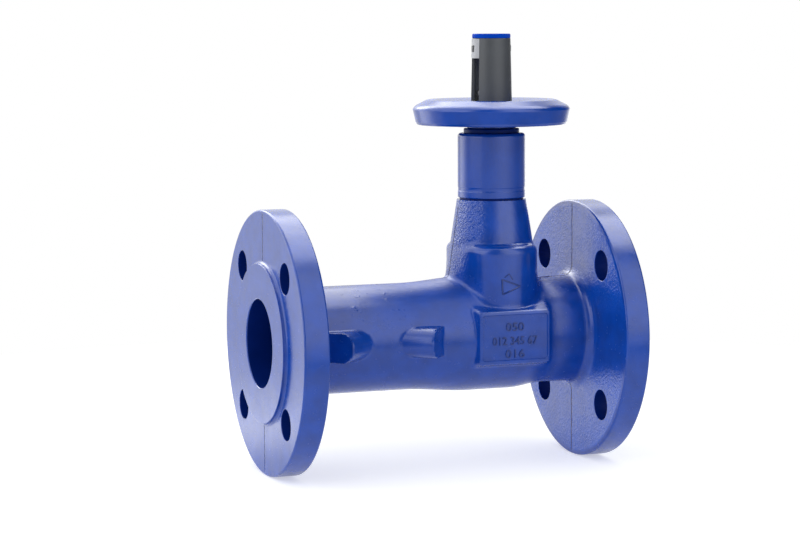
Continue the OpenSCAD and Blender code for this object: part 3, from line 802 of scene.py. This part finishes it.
@cache
def finish(name):
    """Each finish, made once."""
    given = bpy.context.scene.valve_finish
    ground = (900, 60, 900)
    maker, *details = {
        "cast_enamel": (cast_enamel, given.enamel),
        "bonnet_enamel": (smooth_enamel, given.enamel),
        "wheel_enamel": (smooth_enamel, given.enamel, 360),
        # Painted shade: the raised marks get a darker enamel, in place of the shade along their edges
        "mark_enamel": (smooth_enamel, [c * 0.55 for c in given.enamel]),
        # Painted shade: a near-black blue for the insides of the bores and bolt holes and for the gap under
        # the bonnet
        "deep_enamel": (plastic, (0.0, 0.012, 0.13), 0.4, 900, 0.00003, 0.08),
        # Painted shade: the collar under the handwheel gets a near-black blue with little shine, in place of
        # the wheel's shade
        "collar_enamel": (plastic, (0.0, 0.014, 0.12), 0.3, 400, 0.00003, 0.06),
        "tube_plastic": (plastic, given.tube, 0.42),
        # Painted light: a much paler grey than the tube's outside, lifting the shade inside the tube
        "tube_inside": (plastic, (0.3, 0.32, 0.35), 0.5, 900, 0.00003, 0.2),
        "cap_plastic": (plastic, given.cap, 0.4, 900, 0.00003, 0.03),
        "lug_plastic": (plastic, (0.03, 0.033, 0.038), 0.42),
        "panel_film": (plastic, given.panel, 0.35, 300, 0.00002),
        "disc_plastic": (plastic, (0.012, 0.013, 0.015), 0.45),
        "rubber": (rubber, (0.012, 0.012, 0.013)),
        "plug_rubber": (rubber, (0.02, 0.02, 0.022)),
        "brass": (metal, (0.62, 0.42, 0.14), 0.3),
        "stem_steel": (metal, (0.55, 0.56, 0.58), 0.25),
        "washer_steel": (metal, (0.5, 0.51, 0.53), 0.32, ground),
        "spring_steel": (metal, (0.16, 0.17, 0.18), 0.3),
        "plug_iron": (metal, (0.28, 0.29, 0.31), 0.5, ground),
    }[name]
    return maker(name, *details)


# Operators


class VALVE_OT_casting(Operator):
    """Builds the cast body with its fillets, bores and bolt holes"""
    bl_idname = "valve.casting"
    bl_label = "Cast body"

    def execute(self, context):
        shape = CastingShape(context.scene.valve_casting, context.scene.valve_boss)
        body = casting_skin(shape)
        above_neck = block("above_neck", (STEM_X - 60, -60, NECK_TOP), (STEM_X + 60, 60, NECK_TOP + 20))
        combine(body, above_neck, "DIFFERENCE")
        tools = joined([waterway(shape), bolt_hole_tools(shape), pad_recess(shape)])
        combine(body, tools, "DIFFERENCE")
        finished(body, "cast_enamel", ROOT, ["valve_body"])
        self.deepen(body, shape)
        return {"FINISHED"}

    def deepen(self, body, shape):
        """Paints shade into the bores and bolt holes: their faces get a dark enamel that stands in for the
        shade inside them.
        """
        holes = [polar(shape.bolt_circle_r, turn) for turn in BOLT_TURNS]
        near, mouth, half = 0.15, 0.8, FACE_TO_FACE / 2

        def in_shade(x, y, z):
            from_middle = abs(x - half)
            if math.hypot(y, z) < shape.bore_r + near and from_middle < half - mouth:
                return True
            in_hole = min(math.dist((y, z), hole) for hole in holes) < shape.bolt_r + near
            return in_hole and from_middle > half - shape.flange_t - 1

        repainted(body, "deep_enamel", in_shade)


def bead(name, path, radius, sides=10):
    """A round raised line through points, closed at both ends."""
    path = [Vector(p) for p in path]
    rings = []
    for i, point in enumerate(path):
        ahead = (path[min(i + 1, len(path) - 1)] - path[max(i - 1, 0)]).normalized()
        side = ahead.cross(Vector((0, 1, 0))).normalized()
        up = side.cross(ahead)
        turns = [polar(radius, 2 * math.pi * j / sides) for j in range(sides)]
        rings.append([point + a * side + b * up for a, b in turns])
    return skinned(name, rings)


def on_front(shape, corners, steps=8, sink=0.15):
    """Points between corners given as (along the pipe, height), laid on the front of the casting."""
    path = []
    depth = np.arange(-60.0, 0.0, 0.05)
    for (xa, za), (xb, zb) in zip(corners, corners[1:]):
        for i in range(steps + 1):
            x, z = xa + (xb - xa) * i / steps, za + (zb - za) * i / steps
            solid = shape(np.full_like(depth, x), depth, np.full_like(depth, z)) < 0
            path.append((x, depth[int(np.argmax(solid))] + sink, z))
    return [p for i, p in enumerate(path) if i == 0 or p != path[i - 1]]


class VALVE_OT_marks(Operator):
    """Raises the flow triangle on the pocket and plain numbers on the pad"""
    bl_idname = "valve.marks"
    bl_label = "Cast marks"

    def execute(self, context):
        shape = CastingShape(context.scene.valve_casting, context.scene.valve_boss)
        corners = [(148.1, 37.0), (160.1, 32.4), (148.6, 27.6), (148.1, 37.0)]
        peak = [(149.6, 38.2), (152.6, 40.4), (154.9, 36.6)]
        lines = [bead("line", on_front(shape, path[i:i + 2]), radius)
                 for path, radius in ((corners, 0.58), (peak, 0.42)) for i in range(len(path) - 1)]
        # Painted shade: the marks are darker than the casting, in place of the shade along them
        finished(joined(lines, "flow_mark"), "mark_enamel", ROOT)
        field = -shape.pad_reach + 0.6
        rows = (("050", 12.0, 7.6), ("012 345 67", 30.0, -1.1), ("016", 12.8, -9.3))
        rows = [self.row(text, width, (STEM_X - 0.2, field, height)) for text, width, height in rows]
        finished(joined(rows, "pad_numbers"), "mark_enamel", ROOT)
        return {"FINISHED"}

    def row(self, text, width, middle, tall=5.2, thick=1.1):
        """One raised row of numbers on the pad, in millimetres."""
        curve = bpy.data.curves.new("row", "FONT")
        curve.body = text
        curve.size = 1.0
        curve.extrude = 0.05
        curve.resolution_u = 3
        holder = placed("row", curve)
        graph = bpy.context.evaluated_depsgraph_get()
        mesh = bpy.data.meshes.new_from_object(holder.evaluated_get(graph))
        remove(holder)
        points = np.array([v.co for v in mesh.vertices])
        low, high = points.min(axis=0), points.max(axis=0)
        points = (points - (low + high) / 2) / (high - low) * (width, tall, thick)
        for vert, (px, py, pz) in zip(mesh.vertices, points):
            vert.co = (middle[0] + px, middle[1] - pz, middle[2] + py)
        face_outwards(mesh, weld=0.01)
        mesh.transform(Matrix.Scale(MM, 4))
        return placed("row", mesh)


class VALVE_OT_bonnet(Operator):
    """Turns the bonnet and its collar with broken edges"""
    bl_idname = "valve.bonnet"
    bl_label = "Bonnet and collar"

    def execute(self, context):
        r = (BONNET_HIGH[0] - BONNET_LOW[0]) / 2
        low, foot, top = BONNET_LOW[2], NECK_TOP + 1.2, BONNET_HIGH[2]
        groove, width, deep, soft = foot + 4.4, 1.9, 0.22, 0.5
        stem_r, spigot_r, chamber_r, chamber_low = 6.05, 16.9, 14, top - 25
        outline = (
            [(stem_r, low), (15.7, low), (spigot_r, low + 1.2), (spigot_r, NECK_TOP), (r - 1.6, NECK_TOP),
             (r - 1.6, foot)]
            + arc(r - 0.6, foot + 0.6, 0.6, -90, 0, 4)
            + arc(r - soft, groove - soft, soft, 0, 50, 3)
            + [(r - deep, groove + soft), (r - deep, groove + width - soft)]
            + arc(r - soft, groove + width + soft, soft, -50, 0, 3)
            + arc(r - 2.0, top - 2.0, 2.0, 0, 90, 8)
            + [(chamber_r, top), (chamber_r, chamber_low), (stem_r, chamber_low), (stem_r, low)]
        )
        barrel = lathed("bonnet_barrel", outline, ON_STEM, 160)
        finished(barrel, "bonnet_enamel", ROOT, ["bonnet"])
        # Painted shade: a thin dark ring stands in the gap between neck and bonnet, in place of the shade
        # there
        inner, outer, gap_low, gap_high = r - 1.7, r - 1.2, NECK_TOP + 0.02, foot + 0.02
        outline = [(inner, gap_low), (outer, gap_low), (outer, gap_high), (inner, gap_high), (inner, gap_low)]
        gap = lathed("bonnet_gap", outline, ON_STEM)
        finished(gap, "deep_enamel", ROOT, ["bonnet"])
        ring_r = (COLLAR_HIGH[0] - COLLAR_LOW[0]) / 2
        low, head = COLLAR_LOW[2], COLLAR_HIGH[2]
        nut_r, thread_r = 10.05, 13.95
        outline = (
            [(nut_r, low), (thread_r, low), (thread_r, top), (ring_r - 0.3, top), (ring_r, top + 0.3)]
            + arc(ring_r - 0.7, head - 0.7, 0.7, 0, 90, 5)
            + [(nut_r, head), (nut_r, low)]
        )
        # Painted shade: its dark enamel stands in for the shade under the handwheel
        collar = lathed("collar_ring", outline, ON_STEM)
        finished(collar, "collar_enamel", ROOT, ["retaining_collar"])
        return {"FINISHED"}


def spline(points, steps):
    """A smooth curve through a few points, with the same number of steps between each pair."""
    pts = [np.array(p, float) for p in points]
    pts = [2 * pts[0] - pts[1]] + pts + [2 * pts[-1] - pts[-2]]
    out = []
    for a, b, c, d in zip(pts, pts[1:], pts[2:], pts[3:]):
        for i in range(steps):
            t = i / steps
            out.append(tuple(0.5 * (2 * b + (c - a) * t + (2 * a - 5 * b + 4 * c - d) * t ** 2
                                    + (3 * b - a - 3 * c + d) * t ** 3)))
    return out + [tuple(pts[-2])]


def rib_tree(sizes, material):
    """Geometry nodes that add ribs round the hub to a lathed wheel."""
    tree = bpy.data.node_groups.new("wheel_ribs", "GeometryNodeTree")
    for way in ("INPUT", "OUTPUT"):
        tree.interface.new_socket("Geometry", in_out=way, socket_type="NodeSocketGeometry")
    for name, size in sizes.items():
        kind = "NodeSocketInt" if isinstance(size, int) else "NodeSocketFloat"
        tree.interface.new_socket(name, in_out="INPUT", socket_type=kind)
    n = Nodes(tree)
    given = n.add("NodeGroupInput").outputs
    reach = n.minus(given["Outer radius"], given["Inner radius"])
    tall = n.minus(given["High"], given["Low"])
    rib = n.add("GeometryNodeMeshCube", {"Size": n.vector(reach, given["Thickness"], tall)})
    middle = n.vector(n.plus(given["Inner radius"], n.times(reach, 0.5)), 0,
                      n.plus(given["Low"], n.times(tall, 0.5)))
    rib = n.add("GeometryNodeTransform", {"Geometry": rib.outputs["Mesh"], "Translation": middle})
    points = n.add("GeometryNodePoints", {"Count": given["Ribs"]})
    share = n.value("DIVIDE", 2 * math.pi, given["Ribs"])
    turn = n.times(n.plus(n.add("GeometryNodeInputIndex").outputs[0], 0.5), share)
    copies = n.add("GeometryNodeInstanceOnPoints", {
        "Points": points.outputs[0], "Instance": rib.outputs[0], "Rotation": n.vector(0, 0, turn)})
    ribs = n.add("GeometryNodeTransform", {"Geometry": copies.outputs[0], "Translation": (STEM_X * MM, 0, 0)})
    both = n.add("GeometryNodeJoinGeometry", {0: given["Geometry"]})
    n.feed(both, {0: ribs.outputs[0]})
    real = n.add("GeometryNodeRealizeInstances", {0: both.outputs[0]})
    paint = n.add("GeometryNodeSetMaterial", {"Geometry": real.outputs[0], "Material": material})
    n.add("NodeGroupOutput", {0: paint.outputs[0]})
    return tree


def add_nodes(piece, tree, sizes):
    """Runs a geometry node tree on a piece and keeps the plain result."""
    step = piece.modifiers.new("nodes", "NODES")
    step.node_group = tree
    for item in tree.interface.items_tree:
        if item.in_out == "INPUT" and item.name in sizes:
            step[item.identifier] = sizes[item.name]
    return baked(piece)


class VALVE_OT_handwheel(Operator):
    """Lathes the round handwheel and adds its ribs"""
    bl_idname = "valve.handwheel"
    bl_label = "Handwheel"

    def execute(self, context):
        wheel = context.scene.valve_wheel
        wall, foot_r, hub_r = wheel.wall / MM, wheel.foot_r / MM, wheel.hub_r / MM
        r = (WHEEL_HIGH[0] - WHEEL_LOW[0]) / 2
        hub_low, top = WHEEL_LOW[2], WHEEL_HIGH[2]
        foot, hub_top, recess = hub_low + 3.05, top - 2.2 - wall, TUBE_LOW[2]
        dish, hex_r, tube_r = top - 3, 9.65, 13.05
        side = spline([(foot_r, foot + 1.0), (r - 0.8, foot + 5), (r - 0.05, foot + 8.2), (r, foot + 9),
                       (r - 0.4, foot + 10), (r - 1.3, foot + 11), (r - 2.3, foot + 11.7)], 4)
        crown = spline([(r - 8.0, top - 0.4), (r - 9.2, top - 0.04), (r - 10.6, top), (r - 16, top - 0.6),
                        (r - 24, top - 1.9), (r - 31, top - 2.8), (14.4, dish)], 4)
        under = spline([(hub_r + 2, hub_top + 0.6), (r - 17, top - wall), (r - 8, top - wall - 1.5),
                        (r - wall - 0.6, foot + 8.5), (foot_r - wall, foot + 0.5)], 5)
        outline = (
            [(hub_r, hub_low + 0.5), (hub_r, hub_top)] + under
            + arc(foot_r - wall / 2, foot + 0.6, wall / 2 - 0.4, 180, 360, 6)
            + side + [(r - 2.7, top - 3.05)] + crown
            + [(tube_r + 0.2, dish), (tube_r, dish - 0.2), (tube_r, recess), (hex_r, recess),
               (hex_r, hub_low), (hub_r - 0.5, hub_low), (hub_r, hub_low + 0.5)]
        )
        piece = lathed("wheel_rim", outline, ON_STEM, 192)
        sizes = {
            "Ribs": wheel.ribs, "Inner radius": (hub_r - 1) * MM, "Outer radius": (foot_r - wall + 0.8) * MM,
            "Thickness": wheel.rib_t, "Low": (foot + 3) * MM, "High": (top - wall - 0.6) * MM,
        }
        add_nodes(piece, rib_tree(sizes, finish("wheel_enamel")), sizes)
        finished(piece, "wheel_enamel", WHEEL, ["handwheel"])
        return {"FINISHED"}


class VALVE_OT_indicator(Operator):
    """Builds the slotted tube and its cap"""
    bl_idname = "valve.indicator"
    bl_label = "Position indicator"

    def execute(self, context):
        foot_r = (TUBE_HIGH[0] - TUBE_LOW[0]) / 2
        low, top, dish = TUBE_LOW[2], TUBE_HIGH[2], WHEEL_HIGH[2] - 1.2
        top_r = foot_r - 0.9
        bore_r = top_r - 1.4
        outline = [(bore_r, low), (foot_r, low), (foot_r, dish), (top_r + 0.35, top - 14),
                   (top_r, top - 0.25), (top_r - 0.2, top), (bore_r, top), (bore_r, low)]
        tube = lathed("tube_shell", outline, ON_STEM)
        half = math.radians(30)
        corners = [(0, 0), polar(3 * foot_r, math.pi - half), polar(3 * foot_r, math.pi + half)]
        combine(tube, prism("slot", corners, dish + 0.4, dish + 26.9, ON_STEM), "DIFFERENCE")
        lug_low, lug_high, room = top - 8.5, top - 4.5, 0.05
        for side in (-1, 1):
            window = block("window", (side * 15 - 7, -1.5 - room, lug_low - room),
                           (side * 15 + 7, 1.5 + room, lug_high + room), ON_STEM)
            combine(tube, window, "DIFFERENCE")
        bevelled(tube, 0.25, 2, limit_method="ANGLE", angle_limit=math.radians(40))
        finished(tube, "tube_plastic", WHEEL, ["indicator_tube"])
        # Painted light: the inner wall gets the paler grey, lifting the shade seen through the slot
        repainted(tube, "tube_inside", lambda x, y, _: math.hypot(x - STEM_X, y) < bore_r + 0.02)
        self.cap(top, top_r, lug_low, lug_high)
        return {"FINISHED"}

    def cap(self, top, top_r, lug_low, lug_high):
        """The blue cap with its skirt, and the two dark snap lugs."""
        head, skirt_r, seat = CAP_HIGH[2], top_r - 1.45, top + 0.02
        outline = (
            [(0, seat), (skirt_r - 1.5, seat), (skirt_r - 1.5, lug_low - 1), (skirt_r, lug_low - 1),
             (skirt_r, seat), (top_r - 0.3, seat), (top_r, top + 0.3)]
            + arc(top_r - 0.8, head - 0.8, 0.8, 0, 90, 6)
            + [(top_r - 2.4, head), (top_r - 2.8, head - 0.4), (0, head - 0.4)]
        )
        finished(lathed("cap_top", outline, ON_STEM), "cap_plastic", WHEEL, ["tube_cap"])
        lugs = []
        for side in (-1, 1):
            inner, outer = sorted((side * (skirt_r - 0.2), side * (top_r + 0.9)))
            lugs.append(block("lug", (inner, -1.5, lug_low), (outer, 1.5, lug_high), ON_STEM))
        lugs = bevelled(joined(lugs, "cap_lugs"), 0.35, 3)
        finished(lugs, "lug_plastic", WHEEL, ["tube_cap"])


class VALVE_OT_stem(Operator):
    """Cuts the thread of the rising stem"""
    bl_idname = "valve.stem"
    bl_label = "Threaded stem"

    def execute(self, context):
        pitch, depth, around, per_pitch = 5.0, 1.1, 48, 14
        r, low, high = 6.0, BONNET_HIGH[2] - 24, STEM_HIGH[2] - 1.2
        count = int((high - low) / pitch * per_pitch)
        rings = []
        for z in (low + (high - low) * ring / count for ring in range(count + 1)):
            rings.append([])
            for i in range(around):
                phase = (z / pitch - i / around) % 1.0
                crest = min(max(abs(phase - 0.5) * 5 - 0.5, 0), 1)
                rings[-1].append((*polar(r - 0.02 - depth * (1 - crest), 2 * math.pi * i / around), z))
        thread = skinned("stem_thread", rings, ON_STEM)
        foot, stop_low, stop_high, edge = STEM_LOW[2], 34.0, 42.5, 0.3
        stop_r, foot_r = 8.5, 5
        rod = lathed("stem_rod", [
            (0, foot), (foot_r - 0.5, foot), (foot_r, foot + 0.5), (foot_r, stop_low),
            (stop_r - edge, stop_low), (stop_r, stop_low + edge), (stop_r, stop_high - edge),
            (stop_r - edge, stop_high), (r, stop_high), (r, low + 1), (0, low + 1)
        ], ON_STEM, 96)
        finished(combine(rod, thread, "UNION"), "stem_steel", PLUG, ["stem"])
        return {"FINISHED"}


class VALVE_OT_finishes(Operator):
    """Gives each node that stays its finish"""
    bl_idname = "valve.finishes"
    bl_label = "Finishes"

    def execute(self, context):
        paints = {"bonnet_paint": "bonnet_enamel", "wheel_paint": "wheel_enamel", "body_paint": "cast_enamel"}
        for row in frame["record"]["subparts"]:
            slot, item = row["material_slot"], frame["nodes"][row["node"]]
            if item.hide_render:
                continue
            if not item.material_slots:
                item.data.materials.append(None)
            for place in item.material_slots:
                place.material = finish(paints.get(slot, slot))
        return {"FINISHED"}


def stage_material(name, rgb, shine):
    """A matt pale surface that adds light of its own for the camera, and near the valve for reflections."""
    n = MaterialNodes(name)
    path = n.add("ShaderNodeLightPath").outputs
    x, y, _ = n.axes()
    across = n.minus(x, FACE_TO_FACE / 2 * MM)
    away = n.value("SQRT", n.plus(n.times(across, across), n.times(y, y)))
    near = n.spread(away, 0.25, 0.5, shine, 0.0)
    behind = n.times(n.spread(y, 0.05, 0.16), n.spread(x, 0.02, 0.14, 1.0, 0.3))
    glow = n.plus(n.times(path["Is Camera Ray"], shine), n.times(path["Is Glossy Ray"], n.plus(near, behind)),
                  n.times(path["Is Diffuse Ray"], 0.35))
    dim = n.minus(1.0, n.times(path["Is Glossy Ray"], n.spread(away, 0.25, 0.5, 0, 0.75)))
    return n.set(Base_Color=n.tint(dim, (0, 0, 0), rgb), Roughness=0.9, Specular_IOR_Level=0.0,
                 Emission_Color=(1, 1, 1, 1), Emission_Strength=glow)


class VALVE_OT_stage(Operator):
    """Sets the camera, floor, surroundings and lamp"""
    bl_idname = "valve.stage"
    bl_label = "Stage"

    def execute(self, context):
        stage = context.scene.valve_stage
        floor_r, corners = 620, 96
        ring = (polar(floor_r, 2 * math.pi * k / corners) for k in range(corners))
        ring = [(FACE_TO_FACE / 2 + x, y, -FLANGE_R) for x, y in ring]
        floor = mesh_object("floor", ring, [range(corners)])
        floor.data.materials.append(stage_material("floor_white", (0.8, 0.81, 0.82), 0.5))
        self.key_lamp(stage.key_power)
        self.world(stage)
        self.camera()
        context.scene.view_settings.view_transform = "Standard"
        return {"FINISHED"}

    def key_lamp(self, power):
        """A soft square lamp on the left."""
        place, target, size = Vector((-1000, -250, 550)), Vector((STEM_X - 40, 0, 40)), 1100
        data = bpy.data.lights.new("key", "AREA")
        data.energy = power
        data.shape = "RECTANGLE"
        data.size = data.size_y = size * MM
        data.specular_factor = 0.1
        item = placed("key", data)
        item.location = place * MM
        item.rotation_euler = (target - place).to_track_quat("-Z", "Y").to_euler()

    def world(self, stage):
        """White to the camera, even for matt light, and a studio of soft panels for reflections."""
        world = bpy.data.worlds.new("studio")
        world.use_nodes = True
        n = Nodes(world.node_tree)
        place = n.add("ShaderNodeTexCoord").outputs["Generated"]
        front, right, up = Vector((-0.345, -0.938, 0)), Vector((0.938, -0.345, 0)), Vector((0, 0, 1))

        def toward(up_share, front_share=0.0, right_share=0.0):
            axis = up_share * up + front_share * front + right_share * right
            node = n.add("ShaderNodeVectorMath", {0: place, 1: axis}, operation="DOT_PRODUCT")
            return node.outputs["Value"]

        def within(source, wide, narrow):
            return n.spread(source, wide, narrow, interpolation_type="SMOOTHSTEP")

        turn = n.spread(n.value("ARCTAN2", toward(0, 0, 1), toward(0, 1)), -math.pi, math.pi)

        def band(stops):
            ramp = n.add("ShaderNodeValToRGB", {"Fac": turn})
            points = ramp.color_ramp.elements
            ends = {0.0: points[0], 1.0: points[-1]}
            for degrees, level in stops:
                position = (degrees + 180) / 360
                point = ends.get(position) or points.new(position)
                point.color = (level / 3, level / 3, level / 3, 1)
            return ramp.outputs["Color"]

        # Levels by degrees round the valve, above and below the horizon; 0 is the front and 90 the right
        upper = band((
            (-180, 1.0), (-164, 2.4), (-128, 2.7), (-100, 2.3), (-84, 1.5), (-60, 1.6), (-40, 1.8),
            (-24, 0.2), (-4, 0.1), (10, 0.8), (22, 2.4), (60, 2.7), (80, 0.3), (90, 0.0), (140, 0.0),
            (162, 0.6), (180, 1.0),
        ))
        lower = band((
            (-180, 1.1), (-150, 0.9), (-141, 0.85), (-136, 2.0), (-130, 2.9), (-112, 3.0), (-99, 1.3),
            (-88, 0.9), (-60, 0.9), (-38, 0.9), (-10, 1.1), (24, 1.5), (44, 1.7), (75, 0.8), (95, 0.3),
            (140, 0.3), (180, 1.0),
        ))
        level = n.mix(within(toward(1), -0.05, 0.12), lower, upper)
        # Soft round panels: direction as shares of up, front and right, where they fade in, and their level
        for direction, wide, narrow, light in (
            ((1,), 0.93, 0.985, stage.overhead / 5),
            ((0.9135, -0.3116, 0.2614), 0.89, 0.97, stage.overhead / 3),
            ((0.866, -0.171, -0.470), 0.93, 0.985, stage.panel * 0.45 / 3),
            ((0.743, -0.646, -0.173), 0.935, 0.985, stage.panel * 0.9 / 3),
            ((0.454, -0.739, -0.498), 0.955, 0.99, stage.panel * 1.2 / 3),
            ((0.24, -0.97), 0.955, 0.99, 0.25),
        ):
            level = n.mix(within(toward(*direction), wide, narrow), level, light)
        level = n.plus(n.times(within(toward(0.55, -0.82, -0.15), 0.82, 0.95), 0.2), level)
        path = n.add("ShaderNodeLightPath").outputs
        matt = n.mix(path["Is Glossy Ray"], stage.sky, n.times(level, 3 * stage.shine))
        back = n.tree.nodes["Background"]
        n.feed(back, {"Strength": n.mix(path["Is Camera Ray"], matt, 1.0), "Color": (1, 1, 1, 1)})
        world.cycles.sampling_method = "NONE"
        bpy.context.scene.world = world

    def camera(self):
        """The photograph's view, solved from the flange circles."""
        place = Vector((-425.2, -1408.9, 196.7))
        yaw, pitch, roll = math.radians(20.191), math.radians(5.814), math.radians(-0.273)
        focal_px, width_px = 2403.48, 800
        data = bpy.data.cameras.new("camera")
        data.sensor_width = 36.0
        data.lens = focal_px * data.sensor_width / width_px
        data.clip_end = 20
        item = placed("camera", data)
        level = Matrix.Rotation(-yaw, 4, "Z") @ Matrix.Rotation(math.pi / 2 - pitch, 4, "X")
        item.matrix_world = Matrix.Translation(place * MM) @ level @ Matrix.Rotation(roll, 4, "Z")
        bpy.context.scene.camera = item


class VALVE_PT_panel(Panel):
    """Lists the valve's build steps"""
    bl_idname = "VALVE_PT_panel"
    bl_label = "Flanged stop valve"
    bl_space_type = "VIEW_3D"
    bl_region_type = "UI"
    bl_category = "Valve"

    def draw(self, context):
        for step in STEPS:
            self.layout.operator(step.bl_idname, text=step.bl_label)
        for name in GROUPS:
            group = getattr(context.scene, name)
            box = self.layout.box()
            for key in type(group).__annotations__:
                box.prop(group, key)


GROUPS = {
    "valve_casting": CastingSettings,
    "valve_boss": BossSettings,
    "valve_wheel": WheelSettings,
    "valve_finish": FinishSettings,
    "valve_stage": StageSettings,
}
STEPS = (
    VALVE_OT_casting, VALVE_OT_marks, VALVE_OT_bonnet, VALVE_OT_handwheel, VALVE_OT_indicator, VALVE_OT_stem,
    VALVE_OT_finishes, VALVE_OT_stage,
)


def register():
    for item in (*GROUPS.values(), *STEPS, VALVE_PT_panel):
        bpy.utils.register_class(item)
    for name, group in GROUPS.items():
        setattr(bpy.types.Scene, name, PointerProperty(type=group))


def unregister():
    for name in GROUPS:
        delattr(bpy.types.Scene, name)
    for item in reversed((*GROUPS.values(), *STEPS, VALVE_PT_panel)):
        bpy.utils.unregister_class(item)


def main():
    register()
    for step in STEPS:
        group, name = step.bl_idname.split(".")
        getattr(getattr(bpy.ops, group), name)()


if __name__ == "__main__":
    main()
